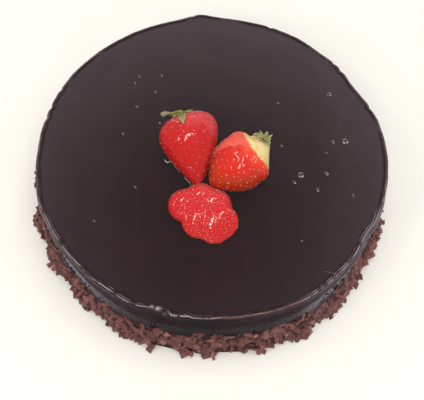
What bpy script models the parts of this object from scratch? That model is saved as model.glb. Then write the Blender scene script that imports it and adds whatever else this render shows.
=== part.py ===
"""A round chocolate pastry cake: dark mirror glaze, a skirt of milk chocolate flakes round the
lower wall, two whole strawberries with their leaves and one lobed strawberry on top.

Metres, +Z up. The origin is the middle of the flat base. The front, from where the lobed
strawberry is nearest, is -Y; bearings are in degrees from +X, counterclockwise seen from above.
"""

import math

import bpy
import numpy as np

# ---- driving dimensions, metres ----
CAKE_RADIUS = 0.120
CAKE_HEIGHT = 0.0545
BEAD_RISE = 0.0006
BEAD_WIDTH = 0.0050
SKIRT_HEIGHT = 0.0235
SKIRT_SPREAD = 0.0050
CAKE_COLUMNS = 96
CLEARANCE = 0.0003

# Dents and bulges of the rim: bearing (degrees), width (degrees), outward distance (metres).
RIM_BUMPS = (
    (31.0, 9.0, -0.0034),
    (50.0, 7.0, -0.0019),
    (96.0, 5.0, 0.0032),
    (199.0, 8.0, 0.0012),
    (268.0, 12.0, -0.0011),
    (300.0, 10.0, 0.0015),
    (330.0, 5.0, -0.0020),
)

# Flakes of milk chocolate, fused to the skirt.
FLAKE_COUNT = 190
FLAKE_LENGTH = (0.0070, 0.0150)
FLAKE_WIDTH = (0.0032, 0.0055)
FLAKE_THICKNESS = 0.0015
FLAKE_SEED = 41

# Each berry: heading is the bearing of the tip less 90 degrees, tilt lowers the tip, the two
# powers shape the profile, the neck is the pale swelling under the leaves, lumps are two slow
# waves round the berry and their phase, and skew slants the shoulder. The dent is a hollow in
# the shoulder: its bearing round the axis and half width (degrees), its place along the axis
# and half length (metres), and its depth as a share of the radius. The hub of the leaves is
# off the axis: the bearing and the angle by which it leans.
LEFT_BERRY = {
    "length": 0.0502,
    "width": 0.0396,
    "x": -0.0143,
    "y": -0.00285,
    "heading": 193.2,
    "tilt": 21.8,
    "powers": (0.514, 0.80),
    "neck": (0.0068, 0.0018, 0.5, 4.0),
    "row_power": 1.6,
    "lumps": (0.012, 0.010, 0.6),
    "skew": 0.095,
    "dent": (52.0, 26.0, -0.0150, 0.0065, 0.20),
    "hub": (66.0, 17.0),
}
RIGHT_BERRY = {
    "length": 0.0398,
    "width": 0.0375,
    "x": 0.0171,
    "y": -0.0172,
    "heading": 129.0,
    "tilt": 10.6,
    "powers": (0.715, 0.678),
    "neck": (0.0100, 0.0119, 1.3, 1.5),
    "row_power": 1.1,
    "lumps": (0.010, 0.012, 2.1),
    "skew": -0.088,
    "dent": (54.6, 24.0, -0.0130, 0.0040, 0.146),
    "hub": (80.0, 12.0),
}
BERRY_ROWS = 15
BERRY_COLUMNS = 22
BERRY_FLATNESS = 0.90
BERRY_SINK = 0.0008
BERRY_MIDDLE = 0.42

# The lobed strawberry: middle x, middle y and radius of each lobe, and the core between them.
LOBES = (
    (-0.0066, -0.0400, 0.0106),
    (0.0030, -0.0445, 0.0108),
    (-0.0169, -0.0451, 0.0107),
    (-0.0080, -0.0571, 0.0100),
    (0.0029, -0.0607, 0.0109),
    (0.0078, -0.0562, 0.0108),
)
LOBE_LIFT = 0.72
LOBED_CORE = (-0.0040, -0.0500, 0.0040, 0.0110)
LOBED_BLEND = 0.0012
# Its sloping top: the slope in degrees, where it meets the front (y, height), the swellings
# on it (x, y), how round and how high they are, and how softly the lobes end at it.
TOP_SLOPE = 27.0
TOP_FOOT = (-0.0735, 0.0028)
TOP_SWELLINGS = (
    (-0.0071, -0.0396),
    (0.0022, -0.0434),
    (-0.0174, -0.0440),
    (-0.0087, -0.0536),
    (0.0022, -0.0562),
    (0.0090, -0.0532),
)
SWELLING_RADIUS = 0.018
SWELLING_HEIGHT = 0.0012
TOP_EDGE = 0.0010
LOBED_ROWS = 11
LOBED_COLUMNS = 36

# Leaves: bearing round the hub (degrees), length, half width (degrees), lift of the tip.
LEFT_LEAVES = (
    (100.0, 0.0150, 24.0, 0.0004),
    (52.0, 0.0090, 15.0, 0.0006),
    (329.0, 0.0098, 17.0, 0.0007),
    (285.0, 0.0080, 17.0, 0.0014),
    (245.0, 0.0082, 16.0, 0.0026),
    (200.0, 0.0080, 17.0, 0.0014),
    (155.0, 0.0078, 18.0, 0.0010),
)
RIGHT_LEAVES = (
    (32.0, 0.0080, 17.0, 0.0020),
    (71.0, 0.0088, 17.0, 0.0010),
    (110.0, 0.0080, 17.0, 0.0014),
    (148.0, 0.0078, 17.0, 0.0026),
    (204.0, 0.0076, 17.0, 0.0038),
    (249.0, 0.0074, 17.0, 0.0030),
    (286.0, 0.0082, 17.0, 0.0022),
    (332.0, 0.0080, 17.0, 0.0022),
)
LEAF_HUB = 0.0026
LEAF_THICKNESS = 0.0006
LEAF_GAP = 0.0010
LEAF_ROWS = 4
LEAF_COLUMNS = 42
STEM_RADIUS = 0.0009
STEM_LENGTH = 0.0128
STEM_KNOB = 0.0018


def rim_radius(bearing):
    """The radius of the cake's outline at a bearing in degrees: the plain radius, its dents
    and bulges, and a slow unevenness."""
    radius = np.full(np.shape(bearing), CAKE_RADIUS)
    for middle, width, out in RIM_BUMPS:
        away = (bearing - middle + 180.0) % 360.0 - 180.0
        radius = radius + out * np.exp(-((away / width) ** 2))
    angle = np.radians(bearing)
    radius = radius + 0.0003 * np.sin(3.0 * angle + 0.8)
    radius = radius + 0.0002 * np.sin(7.0 * angle + 2.0)
    return radius


def clear_scene():
    """Takes away whatever the scene holds at the start."""
    for thing in list(bpy.data.objects):
        bpy.data.objects.remove(thing)


def plain_material(name, colour, roughness):
    """One Principled material of a single colour."""
    material = bpy.data.materials.new(name)
    material.use_nodes = True
    shader = material.node_tree.nodes["Principled BSDF"]
    shader.inputs["Base Color"].default_value = (*colour, 1.0)
    shader.inputs["Roughness"].default_value = roughness
    material.diffuse_color = (*colour, 1.0)
    return material


def make_object(name, points, faces, material):
    """An object of these points and faces."""
    mesh = bpy.data.meshes.new(name)
    mesh.from_pydata(np.asarray(points).tolist(), [], np.asarray(faces).tolist())
    mesh.validate()
    if material:
        mesh.materials.append(material)
    made = bpy.data.objects.new(name, mesh)
    bpy.context.scene.collection.objects.link(made)
    return made


def skin_faces(rows, columns):
    """Triangles of a closed skin: a pole, rows of points from the first pole to the last one,
    and a pole. The poles are the last two points."""
    first = rows * columns
    last = first + 1
    here = np.arange(columns)
    after = (here + 1) % columns
    faces = [np.stack([np.full(columns, first), after, here], axis=1)]
    for row in range(rows - 1):
        low = row * columns
        high = low + columns
        faces.append(np.stack([low + here, low + after, high + after], axis=1))
        faces.append(np.stack([low + here, high + after, high + here], axis=1))
    top = (rows - 1) * columns
    faces.append(np.stack([top + here, top + after, np.full(columns, last)], axis=1))
    return np.concatenate(faces)


def cake_points():
    """Rows of points up the cake: the flat base, the spreading skirt, the wall, the rounded
    rim bead and the flat top."""
    bearing = np.arange(CAKE_COLUMNS) * 360.0 / CAKE_COLUMNS
    angle = np.radians(bearing)
    rim = rim_radius(bearing)
    uneven = 0.0006 * np.sin(11.0 * angle + 0.4) + 0.0005 * np.sin(17.0 * angle + 1.9)
    profile = (
        (SKIRT_SPREAD, 0.0, 1.0),
        (SKIRT_SPREAD + 0.0006, 0.0035, 1.0),
        (SKIRT_SPREAD * 0.80, 0.0110, 1.0),
        (SKIRT_SPREAD * 0.45, 0.0180, 1.0),
        (0.0002, SKIRT_HEIGHT, 0.4),
        (0.0, CAKE_HEIGHT - 0.0050, 0.0),
        (-0.0006, CAKE_HEIGHT - 0.0015, 0.0),
        (-0.0022, CAKE_HEIGHT + BEAD_RISE, 0.0),
        (-BEAD_WIDTH, CAKE_HEIGHT + 0.0001, 0.0),
        (-0.0300, CAKE_HEIGHT, 0.0),
    )
    rows = []
    for out, height, share in profile:
        radius = rim + out + share * uneven
        level = np.full(CAKE_COLUMNS, height)
        rows.append(np.stack([radius * np.cos(angle), radius * np.sin(angle), level], axis=1))
    poles = np.array([[0.0, 0.0, 0.0], [0.0, 0.0, CAKE_HEIGHT]])
    return np.concatenate(rows + [poles]), len(rows)


def flake_points(length, width, curl, twist, taper):
    """A curled shaving: three cross-sections of four points along its length, bent by the
    curl and turned by the twist, narrower at one end."""
    points = []
    for step, along in enumerate((-0.5, 0.05, 0.5)):
        half = 0.5 * width * (1.0 - taper * abs(along - 0.1))
        rise = -curl * along * along * 4.0
        turn = twist * along
        across = np.array([0.0, math.cos(turn), math.sin(turn)])
        up = np.array([0.0, -math.sin(turn), math.cos(turn)]) * FLAKE_THICKNESS * 0.5
        middle = np.array([along * length, 0.0, rise])
        for side, level in ((-1.0, -1.0), (1.0, -1.0), (1.0, 1.0), (-1.0, 1.0)):
            points.append(middle + side * half * across + level * up)
    return np.array(points)


def flake_faces():
    """Triangles of a shaving of three four-point cross-sections."""
    faces = [(0, 2, 1), (0, 3, 2), (8, 9, 10), (8, 10, 11)]
    for section in range(2):
        low = section * 4
        for corner in range(4):
            after = (corner + 1) % 4
            faces.append((low + corner, low + after, low + 4 + after))
            faces.append((low + corner, low + 4 + after, low + 4 + corner))
    return faces


def turn_matrix(angle, axis):
    """The matrix of a turn about one axis: 0, 1 or 2."""
    one, two = ((1, 2), (2, 0), (0, 1))[axis]
    matrix = np.eye(3)
    matrix[one, one] = math.cos(angle)
    matrix[two, two] = math.cos(angle)
    matrix[one, two] = -math.sin(angle)
    matrix[two, one] = math.sin(angle)
    return matrix


def skirt_radius(bearing, height):
    """The skirt's own radius at a bearing and a height."""
    share = min(max(height / SKIRT_HEIGHT, 0.0), 1.0)
    return float(rim_radius(np.array([bearing]))[0]) + SKIRT_SPREAD * (1.0 - share**1.6)


def place_flakes():
    """Every flake, the largest first: spread round the skirt by an even turn and up it in
    turn, each turned at random and half sunk."""
    draw = np.random.default_rng(FLAKE_SEED)
    lengths = np.sort(draw.uniform(FLAKE_LENGTH[0], FLAKE_LENGTH[1], FLAKE_COUNT))[::-1]
    golden = 180.0 * (3.0 - math.sqrt(5.0))
    flakes = []
    for index, length in enumerate(lengths):
        bearing = (index * golden) % 360.0
        height = 0.0020 + (SKIRT_HEIGHT - 0.0035) * ((index * 0.754877) % 1.0)
        width = draw.uniform(*FLAKE_WIDTH)
        points = flake_points(length, width, draw.uniform(0.0002, 0.0016), draw.uniform(-0.7, 0.7), 0.7)
        # Local x along the flake, y across it, z out of the wall.
        turn = draw.uniform(0.0, math.pi)
        lean = draw.uniform(-0.45, 0.45)
        tip = draw.uniform(-0.40, 0.40)
        spin = turn_matrix(turn, 2)
        roll = turn_matrix(lean, 0)
        pitch = turn_matrix(tip, 1)
        points = points @ (spin @ pitch @ roll).T
        angle = math.radians(bearing)
        slope = 0.25
        level = math.cos(slope)
        outward = np.array([math.cos(angle) * level, math.sin(angle) * level, math.sin(slope)])
        sideways = np.array([-math.sin(angle), math.cos(angle), 0.0])
        upward = np.cross(outward, sideways)
        radius = skirt_radius(bearing, height) + 0.0003
        middle = np.array([radius * math.cos(angle), radius * math.sin(angle), height])
        points = middle + points @ np.stack([sideways, upward, outward])
        low = points[:, 2].min()
        if low < 0.0004:
            points[:, 2] += 0.0004 - low
        flakes.append(points)
    return flakes


def join_solids(base, parts):
    """One solid out of the base and the parts: a Boolean union, applied, with the parts then
    taken away and any loose scrap or sealed hollow dropped."""
    group = bpy.data.collections.new(base.name + "_parts")
    bpy.context.scene.collection.children.link(group)
    for part in parts:
        bpy.context.scene.collection.objects.unlink(part)
        group.objects.link(part)
    union = base.modifiers.new("union", "BOOLEAN")
    union.operation = "UNION"
    union.solver = "EXACT"
    union.use_self = True
    union.operand_type = "COLLECTION"
    union.collection = group
    bpy.context.view_layer.update()
    graph = bpy.context.evaluated_depsgraph_get()
    joined = bpy.data.meshes.new_from_object(base.evaluated_get(graph), depsgraph=graph)
    base.modifiers.clear()
    joined.name = base.name
    base.data = joined
    for part in parts:
        bpy.data.objects.remove(part)
    bpy.data.collections.remove(group)
    keep_largest(base)


def keep_largest(solid):
    """Leaves only the largest closed piece of the solid's mesh."""
    mesh = solid.data
    mesh.calc_loop_triangles()
    count = len(mesh.vertices)
    points = np.empty(count * 3)
    mesh.vertices.foreach_get("co", points)
    points = points.reshape(-1, 3)
    faces = np.empty(len(mesh.loop_triangles) * 3, np.int64)
    mesh.loop_triangles.foreach_get("vertices", faces)
    faces = faces.reshape(-1, 3)
    label = np.arange(count)
    while True:
        lowest = label[faces].min(axis=1)
        fresh = label.copy()
        for corner in range(3):
            np.minimum.at(fresh, faces[:, corner], lowest)
        fresh = fresh[fresh]
        if (fresh == label).all():
            break
        label = fresh
    names, sizes = np.unique(label[faces[:, 0]], return_counts=True)
    wanted = names[sizes.argmax()]
    faces = faces[label[faces[:, 0]] == wanted]
    used = np.unique(faces)
    order = np.full(count, -1)
    order[used] = np.arange(len(used))
    material = mesh.materials[0]
    kept = bpy.data.meshes.new(solid.name)
    kept.from_pydata(points[used].tolist(), [], order[faces].tolist())
    kept.materials.append(material)
    solid.data = kept


def berry_profile(berry, along):
    """The radius of a berry at distances along its axis from its middle: a powered sine for
    the body, blended with a bell for the neck."""
    body_power, round_power = berry["powers"]
    neck_radius, neck_reach, neck_power, blend = berry["neck"]
    length = berry["length"]
    share = np.clip(along / length + BERRY_MIDDLE, 0.0, 1.0)
    body = 0.5 * berry["width"] * np.sin(np.pi * share**body_power) ** round_power
    neck_middle = -BERRY_MIDDLE * length + 0.001
    far = np.clip((along - neck_middle) / neck_reach, -1.0, 1.0)
    neck = neck_radius * (1.0 - far * far) ** neck_power
    return (body**blend + neck**blend) ** (1.0 / blend)


def berry_unevenness(berry, along, turn):
    """The share by which a berry's radius departs from its profile: two slow waves round the
    axis, and the dent in its shoulder."""
    two, three, phase = berry["lumps"]
    waves = 1.0 + two * np.sin(2.0 * turn + phase) + three * np.sin(3.0 * turn + 2.0 * phase)
    bearing, half_width, place, half_length, depth = berry["dent"]
    aside = (np.degrees(turn) - bearing + 180.0) % 360.0 - 180.0
    hollow = np.exp(-((aside / half_width) ** 2) - ((along - place) / half_length) ** 2)
    return waves - depth * hollow


def berry_local(berry, along, turn):
    """Points on a berry before it is laid down: x sideways, y to the tip, z up."""
    radius = berry_profile(berry, along) * berry_unevenness(berry, along, turn)
    x = radius * np.cos(turn)
    share = along / berry["length"] + BERRY_MIDDLE
    y = along + berry["skew"] * x * (1.0 - share)
    z = radius * BERRY_FLATNESS * np.sin(turn)
    return np.stack(np.broadcast_arrays(x, y, z), axis=-1)


def berry_gap(berry, points):
    """How far points in the berry's own frame are outside its skin, negative inside: their
    distance from the axis less the radius there."""
    length = berry["length"]
    x = points[..., 0]
    slant = berry["skew"] * x
    along = (points[..., 1] - slant * (1.0 - BERRY_MIDDLE)) / (1.0 - slant / length)
    round_z = points[..., 2] / BERRY_FLATNESS
    turn = np.arctan2(round_z, x)
    radius = berry_profile(berry, along) * berry_unevenness(berry, along, turn)
    return np.hypot(x, round_z) - radius


def cast_to_skin(gap, middle, rays, far):
    """Where rays from a middle point leave a solid given by its gap function: the outermost
    crossing, found in steps from far out and then halved in on."""
    reach = np.full(rays.shape[:-1], far)
    searching = np.ones(reach.shape, bool)
    step = far / 110.0
    for _ in range(110):
        inside = gap(middle + rays * reach[..., None]) < 0.0
        searching &= ~inside
        reach = np.where(searching, reach - step, reach)
    near = reach
    beyond = reach + step
    for _ in range(12):
        half = 0.5 * (near + beyond)
        inside = gap(middle + rays * half[..., None]) < 0.0
        near = np.where(inside, half, near)
        beyond = np.where(inside, beyond, half)
    return near


def lay_down(berry, points, rest):
    """Points of a berry tilted tip down, turned to its heading and set on the glaze. The rest
    is how far the tilted berry has to rise."""
    tilt = math.radians(berry["tilt"])
    heading = math.radians(berry["heading"])
    x = points[..., 0]
    y = points[..., 1] * math.cos(tilt) + points[..., 2] * math.sin(tilt)
    z = points[..., 2] * math.cos(tilt) - points[..., 1] * math.sin(tilt) + rest
    east = x * math.cos(heading) - y * math.sin(heading) + berry["x"]
    north = x * math.sin(heading) + y * math.cos(heading) + berry["y"]
    return np.stack([east, north, z], axis=-1)


def berry_stations(berry, rows):
    """Distances along the axis, closer together towards both ends, without the ends."""
    length = berry["length"]
    start = min(-BERRY_MIDDLE * length, -BERRY_MIDDLE * length + 0.001 - berry["neck"][1])
    end = (1.0 - BERRY_MIDDLE) * length
    share = (1.0 - np.cos(np.pi * np.arange(1, rows + 1) / (rows + 1))) / 2.0
    return start + (end - start) * share ** berry["row_power"], start, end


def berry_rest(berry):
    """How far the tilted berry rises so that its lowest skin is just sunk in the glaze."""
    along, start, end = berry_stations(berry, 80)
    turn = np.radians(np.arange(0, 360, 4))
    points = berry_local(berry, along[:, None], turn[None, :])
    low = lay_down(berry, points, 0.0)[..., 2].min()
    return CAKE_HEIGHT - BERRY_SINK - low


def berry_object(name, berry, material):
    """A berry's closed skin, flat where it lies on the glaze."""
    along, start, end = berry_stations(berry, BERRY_ROWS)
    turn = np.radians(np.arange(BERRY_COLUMNS) * 360.0 / BERRY_COLUMNS)
    rest = berry_rest(berry)
    skin = lay_down(berry, berry_local(berry, along[:, None], turn[None, :]), rest)
    ends = lay_down(berry, np.array([[0.0, start, 0.0], [0.0, end, 0.0]]), rest)
    points = np.concatenate([skin.reshape(-1, 3), ends])
    points[:, 2] = np.maximum(points[:, 2], CAKE_HEIGHT + CLEARANCE)
    faces = skin_faces(BERRY_ROWS, BERRY_COLUMNS)[:, ::-1]
    return make_object(name, points, faces, material)


def lobed_gap(points):
    """How far points are outside the lobed berry, negative inside: a smooth union of its
    lobes and its core, ended softly by a sloping top with a low round swelling in each lobe."""
    total = 0.0
    for x, y, radius in LOBES:
        middle = np.array([x, y, CAKE_HEIGHT + LOBE_LIFT * radius])
        gap = np.linalg.norm(points - middle, axis=-1) - radius
        total = total + np.exp(-gap / LOBED_BLEND)
    x, y, height, radius = LOBED_CORE
    gap = np.linalg.norm(points - np.array([x, y, CAKE_HEIGHT + height]), axis=-1) - radius
    total = total + np.exp(-gap / LOBED_BLEND)
    lobes = -LOBED_BLEND * np.log(total)
    slope = math.radians(TOP_SLOPE)
    ahead = points[..., 1] - TOP_FOOT[0]
    height = points[..., 2] - CAKE_HEIGHT - TOP_FOOT[1]
    over = height * math.cos(slope) - ahead * math.sin(slope)
    along = ahead * math.cos(slope) + height * math.sin(slope)
    relief = 0.0
    for x, y in TOP_SWELLINGS:
        away = (points[..., 0] - x) ** 2 + (along - (y - TOP_FOOT[0]) / math.cos(slope)) ** 2
        bump = np.exp(-away / (2.0 * SWELLING_RADIUS * SWELLING_HEIGHT))
        relief = relief + bump**6
    top = over + SWELLING_HEIGHT * (1.0 - relief ** (1.0 / 6.0))
    return np.maximum(lobes, top) + TOP_EDGE * np.log1p(np.exp(-np.abs(lobes - top) / TOP_EDGE))


def lobed_points(pitch, turn):
    """Points of the lobed skin in directions from its core."""
    x, y, height, radius = LOBED_CORE
    middle = np.array([x, y, CAKE_HEIGHT + height + 0.002])
    rays = np.stack([np.cos(pitch) * np.cos(turn), np.cos(pitch) * np.sin(turn), np.sin(pitch)], axis=-1)
    reach = cast_to_skin(lobed_gap, middle, rays, 0.034)
    return middle + rays * reach[..., None]


def lobed_object(name, material):
    """The lobed berry's closed skin, flat where it lies on the glaze."""
    pitch = -math.pi / 2.0 + math.pi * np.arange(1, LOBED_ROWS + 1) / (LOBED_ROWS + 1)
    turn = np.arange(LOBED_COLUMNS) * 2.0 * math.pi / LOBED_COLUMNS
    grid_pitch, grid_turn = np.meshgrid(pitch, turn, indexing="ij")
    skin = lobed_points(grid_pitch, grid_turn).reshape(-1, 3)
    poles = lobed_points(np.array([-math.pi / 2.0, math.pi / 2.0]), np.array([0.0, 0.0]))
    points = np.concatenate([skin, poles])
    points[:, 2] = np.maximum(points[:, 2], CAKE_HEIGHT + CLEARANCE)
    return make_object(name, points, skin_faces(LOBED_ROWS, LOBED_COLUMNS), material)


def leaf_reach(leaves, turn):
    """How far the leaves reach from the hub at each bearing, and how far their tips lift."""
    reach = np.full(turn.shape, LEAF_HUB)
    lift = np.zeros(turn.shape)
    for bearing, length, half_width, rise in leaves:
        away = np.abs((np.degrees(turn) - bearing + 180.0) % 360.0 - 180.0)
        share = np.clip(1.0 - away / half_width, 0.0, 1.0) ** 0.8
        reach = np.maximum(reach, LEAF_HUB + (length - LEAF_HUB) * share)
        lift = np.maximum(lift, rise * share)
    return reach, lift


def leaf_frame(berry):
    """The direction of a berry's leaf hub from its middle and two directions square to it,
    in the berry's own frame, and how far out the skin is there."""
    bearing, lean = (math.radians(angle) for angle in berry["hub"])
    out = np.array([math.sin(lean) * math.cos(bearing), -math.cos(lean), math.sin(lean) * math.sin(bearing)])
    aside = np.cross(out, np.array([0.0, 0.0, 1.0]))
    aside /= np.linalg.norm(aside)
    over = np.cross(aside, out)
    reach = cast_to_skin(lambda points: berry_gap(berry, points), np.zeros(3), out[None], 0.036)
    return out, aside, over, float(reach[0])


def leaf_points(berry, distance, turn, lift):
    """Points at a distance over the skin from the leaf hub, in a direction round it, lifted
    off the skin along the ray from the berry's middle."""
    out, aside, over, hub_reach = leaf_frame(berry)
    angle = (distance / hub_reach)[..., None]
    spread = np.cos(turn)[..., None] * aside + np.sin(turn)[..., None] * over
    rays = np.cos(angle) * out + np.sin(angle) * spread
    reach = cast_to_skin(lambda points: berry_gap(berry, points), np.zeros(3), rays, 0.036)
    return rays * (reach + lift)[..., None]


def leaf_object(name, berry, leaves, material):
    """A star of thin wavy leaves that follows the berry's skin a little way off it. Both
    faces are split alike."""
    rest = berry_rest(berry)
    turn = np.arange(LEAF_COLUMNS) * 2.0 * math.pi / LEAF_COLUMNS
    reach, rise = leaf_reach(leaves, turn)
    share = (np.arange(1, LEAF_ROWS + 1) / LEAF_ROWS)[:, None]
    wave = 0.0002 * np.sin(9.0 * turn + 3.0 * share) * share
    distance = reach * share
    bearing = np.broadcast_to(turn, distance.shape)
    low = LEAF_GAP + wave + rise * share**2.2
    under = leaf_points(berry, distance, bearing, low)
    over = leaf_points(berry, distance, bearing, low + LEAF_THICKNESS * (1.0 - 0.35 * share))
    out, aside, above, hub_reach = leaf_frame(berry)
    hub = np.stack([out * (hub_reach + LEAF_GAP), out * (hub_reach + LEAF_GAP + LEAF_THICKNESS)])
    local = np.concatenate([under.reshape(-1, 3), over.reshape(-1, 3), hub])
    points = lay_down(berry, local, rest)
    here = np.arange(LEAF_COLUMNS)
    after = (here + 1) % LEAF_COLUMNS
    block = LEAF_ROWS * LEAF_COLUMNS
    faces = []
    for base, pole, flip in ((0, 2 * block, True), (block, 2 * block + 1, False)):
        part = [np.stack([np.full(LEAF_COLUMNS, pole), base + here, base + after], axis=1)]
        for row in range(LEAF_ROWS - 1):
            inner = base + row * LEAF_COLUMNS
            outer = inner + LEAF_COLUMNS
            part.append(np.stack([inner + here, outer + here, outer + after], axis=1))
            part.append(np.stack([inner + here, outer + after, inner + after], axis=1))
        part = np.concatenate(part)
        faces.append(part[:, ::-1] if flip else part)
    edge = (LEAF_ROWS - 1) * LEAF_COLUMNS
    faces.append(np.stack([edge + here, edge + after, block + edge + after], axis=1))
    faces.append(np.stack([edge + here, block + edge + after, block + edge + here], axis=1))
    return make_object(name, points, np.concatenate(faces), material)


def stem_object(berry):
    """A short stem that leaves the hub, bends to the left and ends in a knob."""
    out, aside, over, hub_reach = leaf_frame(berry)
    ends = np.stack([out * (hub_reach + LEAF_GAP + 0.0004), out * (hub_reach + 0.0100)])
    hub, beyond = lay_down(berry, ends, berry_rest(berry))
    back = (beyond - hub) / np.linalg.norm(beyond - hub)
    left = np.array([-1.0, -0.33, -0.10])
    stations = np.array([0.0, 0.15, 0.32, 0.50, 0.70, 0.81, 0.90, 1.0])
    path = hub + back * 0.0020 * np.sin(stations[:, None] * math.pi / 2.0)
    path = path + left * STEM_LENGTH * (stations[:, None] ** 1.4)
    radius = np.array([1.4, 1.1, 1.0, 0.95, 0.95, 1.0, 1.0, 1.0]) * STEM_RADIUS
    radius[-3:] = (STEM_KNOB * 0.9, STEM_KNOB, STEM_KNOB * 0.85)
    ahead = np.gradient(path, axis=0)
    ahead /= np.linalg.norm(ahead, axis=1)[:, None]
    side = np.cross(ahead, np.array([0.0, 0.0, 1.0]))
    side /= np.linalg.norm(side, axis=1)[:, None]
    up = np.cross(side, ahead)
    turn = np.arange(8) * math.pi / 4.0
    rings = path[:, None] + radius[:, None, None] * (
        np.cos(turn)[None, :, None] * side[:, None] + np.sin(turn)[None, :, None] * up[:, None]
    )
    poles = np.array([path[0] - ahead[0] * 0.0004, path[-1] + ahead[-1] * 0.0006])
    points = np.concatenate([rings.reshape(-1, 3), poles])
    return make_object("stem", points, skin_faces(len(stations), 8), None)


def face_outwards(solid):
    """Turns every face of a closed solid outwards."""
    mesh = solid.data
    mesh.calc_loop_triangles()
    total = 0.0
    for triangle in mesh.loop_triangles:
        one, two, three = (mesh.vertices[index].co for index in triangle.vertices)
        total += one.dot(two.cross(three))
    if total < 0.0:
        mesh.flip_normals()


def build():
    """Makes every node of the cake."""
    clear_scene()
    glaze = plain_material("chocolate_glaze", (0.028, 0.013, 0.012), 0.12)
    red = plain_material("red_strawberry", (0.62, 0.020, 0.022), 0.30)
    orange = plain_material("orange_strawberry", (0.66, 0.050, 0.022), 0.30)
    front_red = plain_material("lobed_strawberry", (0.64, 0.018, 0.026), 0.28)
    green = plain_material("leaf_green", (0.18, 0.24, 0.05), 0.60)
    pale_green = plain_material("pale_leaf_green", (0.26, 0.27, 0.08), 0.60)

    points, rows = cake_points()
    cake = make_object("cake", points, skin_faces(rows, CAKE_COLUMNS), glaze)
    face_outwards(cake)
    flakes = []
    for index, shape in enumerate(place_flakes()):
        flake = make_object("flake_" + str(index), shape, flake_faces(), None)
        face_outwards(flake)
        flakes.append(flake)
    join_solids(cake, flakes)

    left = berry_object("strawberry_left", LEFT_BERRY, red)
    right = berry_object("strawberry_right", RIGHT_BERRY, orange)
    front = lobed_object("strawberry_front", front_red)
    left_leaves = leaf_object("strawberry_left_leaves", LEFT_BERRY, LEFT_LEAVES, pale_green)
    right_leaves = leaf_object("strawberry_right_leaves", RIGHT_BERRY, RIGHT_LEAVES, green)
    stem = stem_object(LEFT_BERRY)
    for solid in (left, right, front, left_leaves, right_leaves, stem):
        face_outwards(solid)
    join_solids(left_leaves, [stem])


build()
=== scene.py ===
"""The chocolate pastry cake, dressed: mirror glaze, a skirt of milk chocolate flakes, and the
strawberries with their seeds and leaves. Metres, +Z up, -Y is the front."""

import math

import bpy
import mathutils
import numpy as np
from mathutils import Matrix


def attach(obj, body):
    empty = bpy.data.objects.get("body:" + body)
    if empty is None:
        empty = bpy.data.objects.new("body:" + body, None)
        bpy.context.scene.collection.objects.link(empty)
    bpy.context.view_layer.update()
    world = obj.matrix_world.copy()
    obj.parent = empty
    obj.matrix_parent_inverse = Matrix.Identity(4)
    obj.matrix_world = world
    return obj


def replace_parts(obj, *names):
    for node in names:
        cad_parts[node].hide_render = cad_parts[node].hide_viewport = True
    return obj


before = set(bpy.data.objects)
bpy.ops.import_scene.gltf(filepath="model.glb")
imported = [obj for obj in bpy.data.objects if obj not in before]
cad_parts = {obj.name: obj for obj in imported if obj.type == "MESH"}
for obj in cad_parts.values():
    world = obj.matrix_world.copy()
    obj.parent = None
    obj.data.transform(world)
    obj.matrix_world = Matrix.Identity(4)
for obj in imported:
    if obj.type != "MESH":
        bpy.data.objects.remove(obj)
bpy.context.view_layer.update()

# ---- sizes of the cake and of the strawberries on it ----
CAKE_RADIUS = 0.120
CAKE_HEIGHT = 0.0545
SKIRT_HEIGHT = 0.0235
SKIRT_SPREAD = 0.0050
# Bulges and dents of the outline: bearing, half width in degrees, how far out.
RIM_BUMPS = (
    (31.0, 9.0, -0.0034),
    (50.0, 7.0, -0.0019),
    (96.0, 5.0, 0.0032),
    (199.0, 8.0, 0.0012),
    (268.0, 12.0, -0.0011),
    (300.0, 10.0, 0.0015),
    (330.0, 5.0, -0.0020),
)
# Every whole berry: how flat, how far sunk in the glaze, where its middle is along its length,
# and how far in from the end its neck's middle is.
BERRY_FLATNESS = 0.90
BERRY_SINK = 0.0008
BERRY_MIDDLE = 0.42
NECK_OFFSET = 0.001
# Each whole berry: its size, place, heading and tilt; the powers of its profile; its neck
# (radius, reach, power, blend); how its rows close up; its lumps (two to a turn, three to a
# turn, phase); its skew; the dent (turn, half width, place, half length, depth); the fill
# behind its neck (first and last turn, then place and radius at both ends of the slope); where
# it mirrors the long lamp (place, turn); and its leaf hub (turn, lean).
LEFT_BERRY = {
    "length": 0.0502,
    "width": 0.0396,
    "x": -0.0143,
    "y": -0.00285,
    "heading": 193.2,
    "tilt": 21.8,
    "powers": (0.514, 0.80),
    "neck": (0.0068, 0.0018, 0.5, 4.0),
    "row_power": 1.6,
    "lumps": (0.012, 0.010, 0.6),
    "skew": 0.095,
    "dent": (52.0, 26.0, -0.0150, 0.0065, 0.20),
    "fill": (0.0, 0.0, 0.0, 0.0, 0.001, 0.0),
    "lamp": (-0.0032, 78.0),
    "hub": (66.0, 17.0),
}
RIGHT_BERRY = {
    "length": 0.0398,
    "width": 0.0375,
    "x": 0.0171,
    "y": -0.0172,
    "heading": 129.0,
    "tilt": 10.6,
    "powers": (0.715, 0.678),
    "neck": (0.0100, 0.0119, 1.3, 1.5),
    "row_power": 1.1,
    "lumps": (0.010, 0.012, 2.1),
    "skew": -0.088,
    "dent": (54.6, 24.0, -0.0130, 0.0040, 0.146),
    "fill": (88.0, 205.0, -0.0216, 0.0069, -0.0144, 0.0158),
    "lamp": (0.0034, 112.0),
    "hub": (80.0, 12.0),
}
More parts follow.
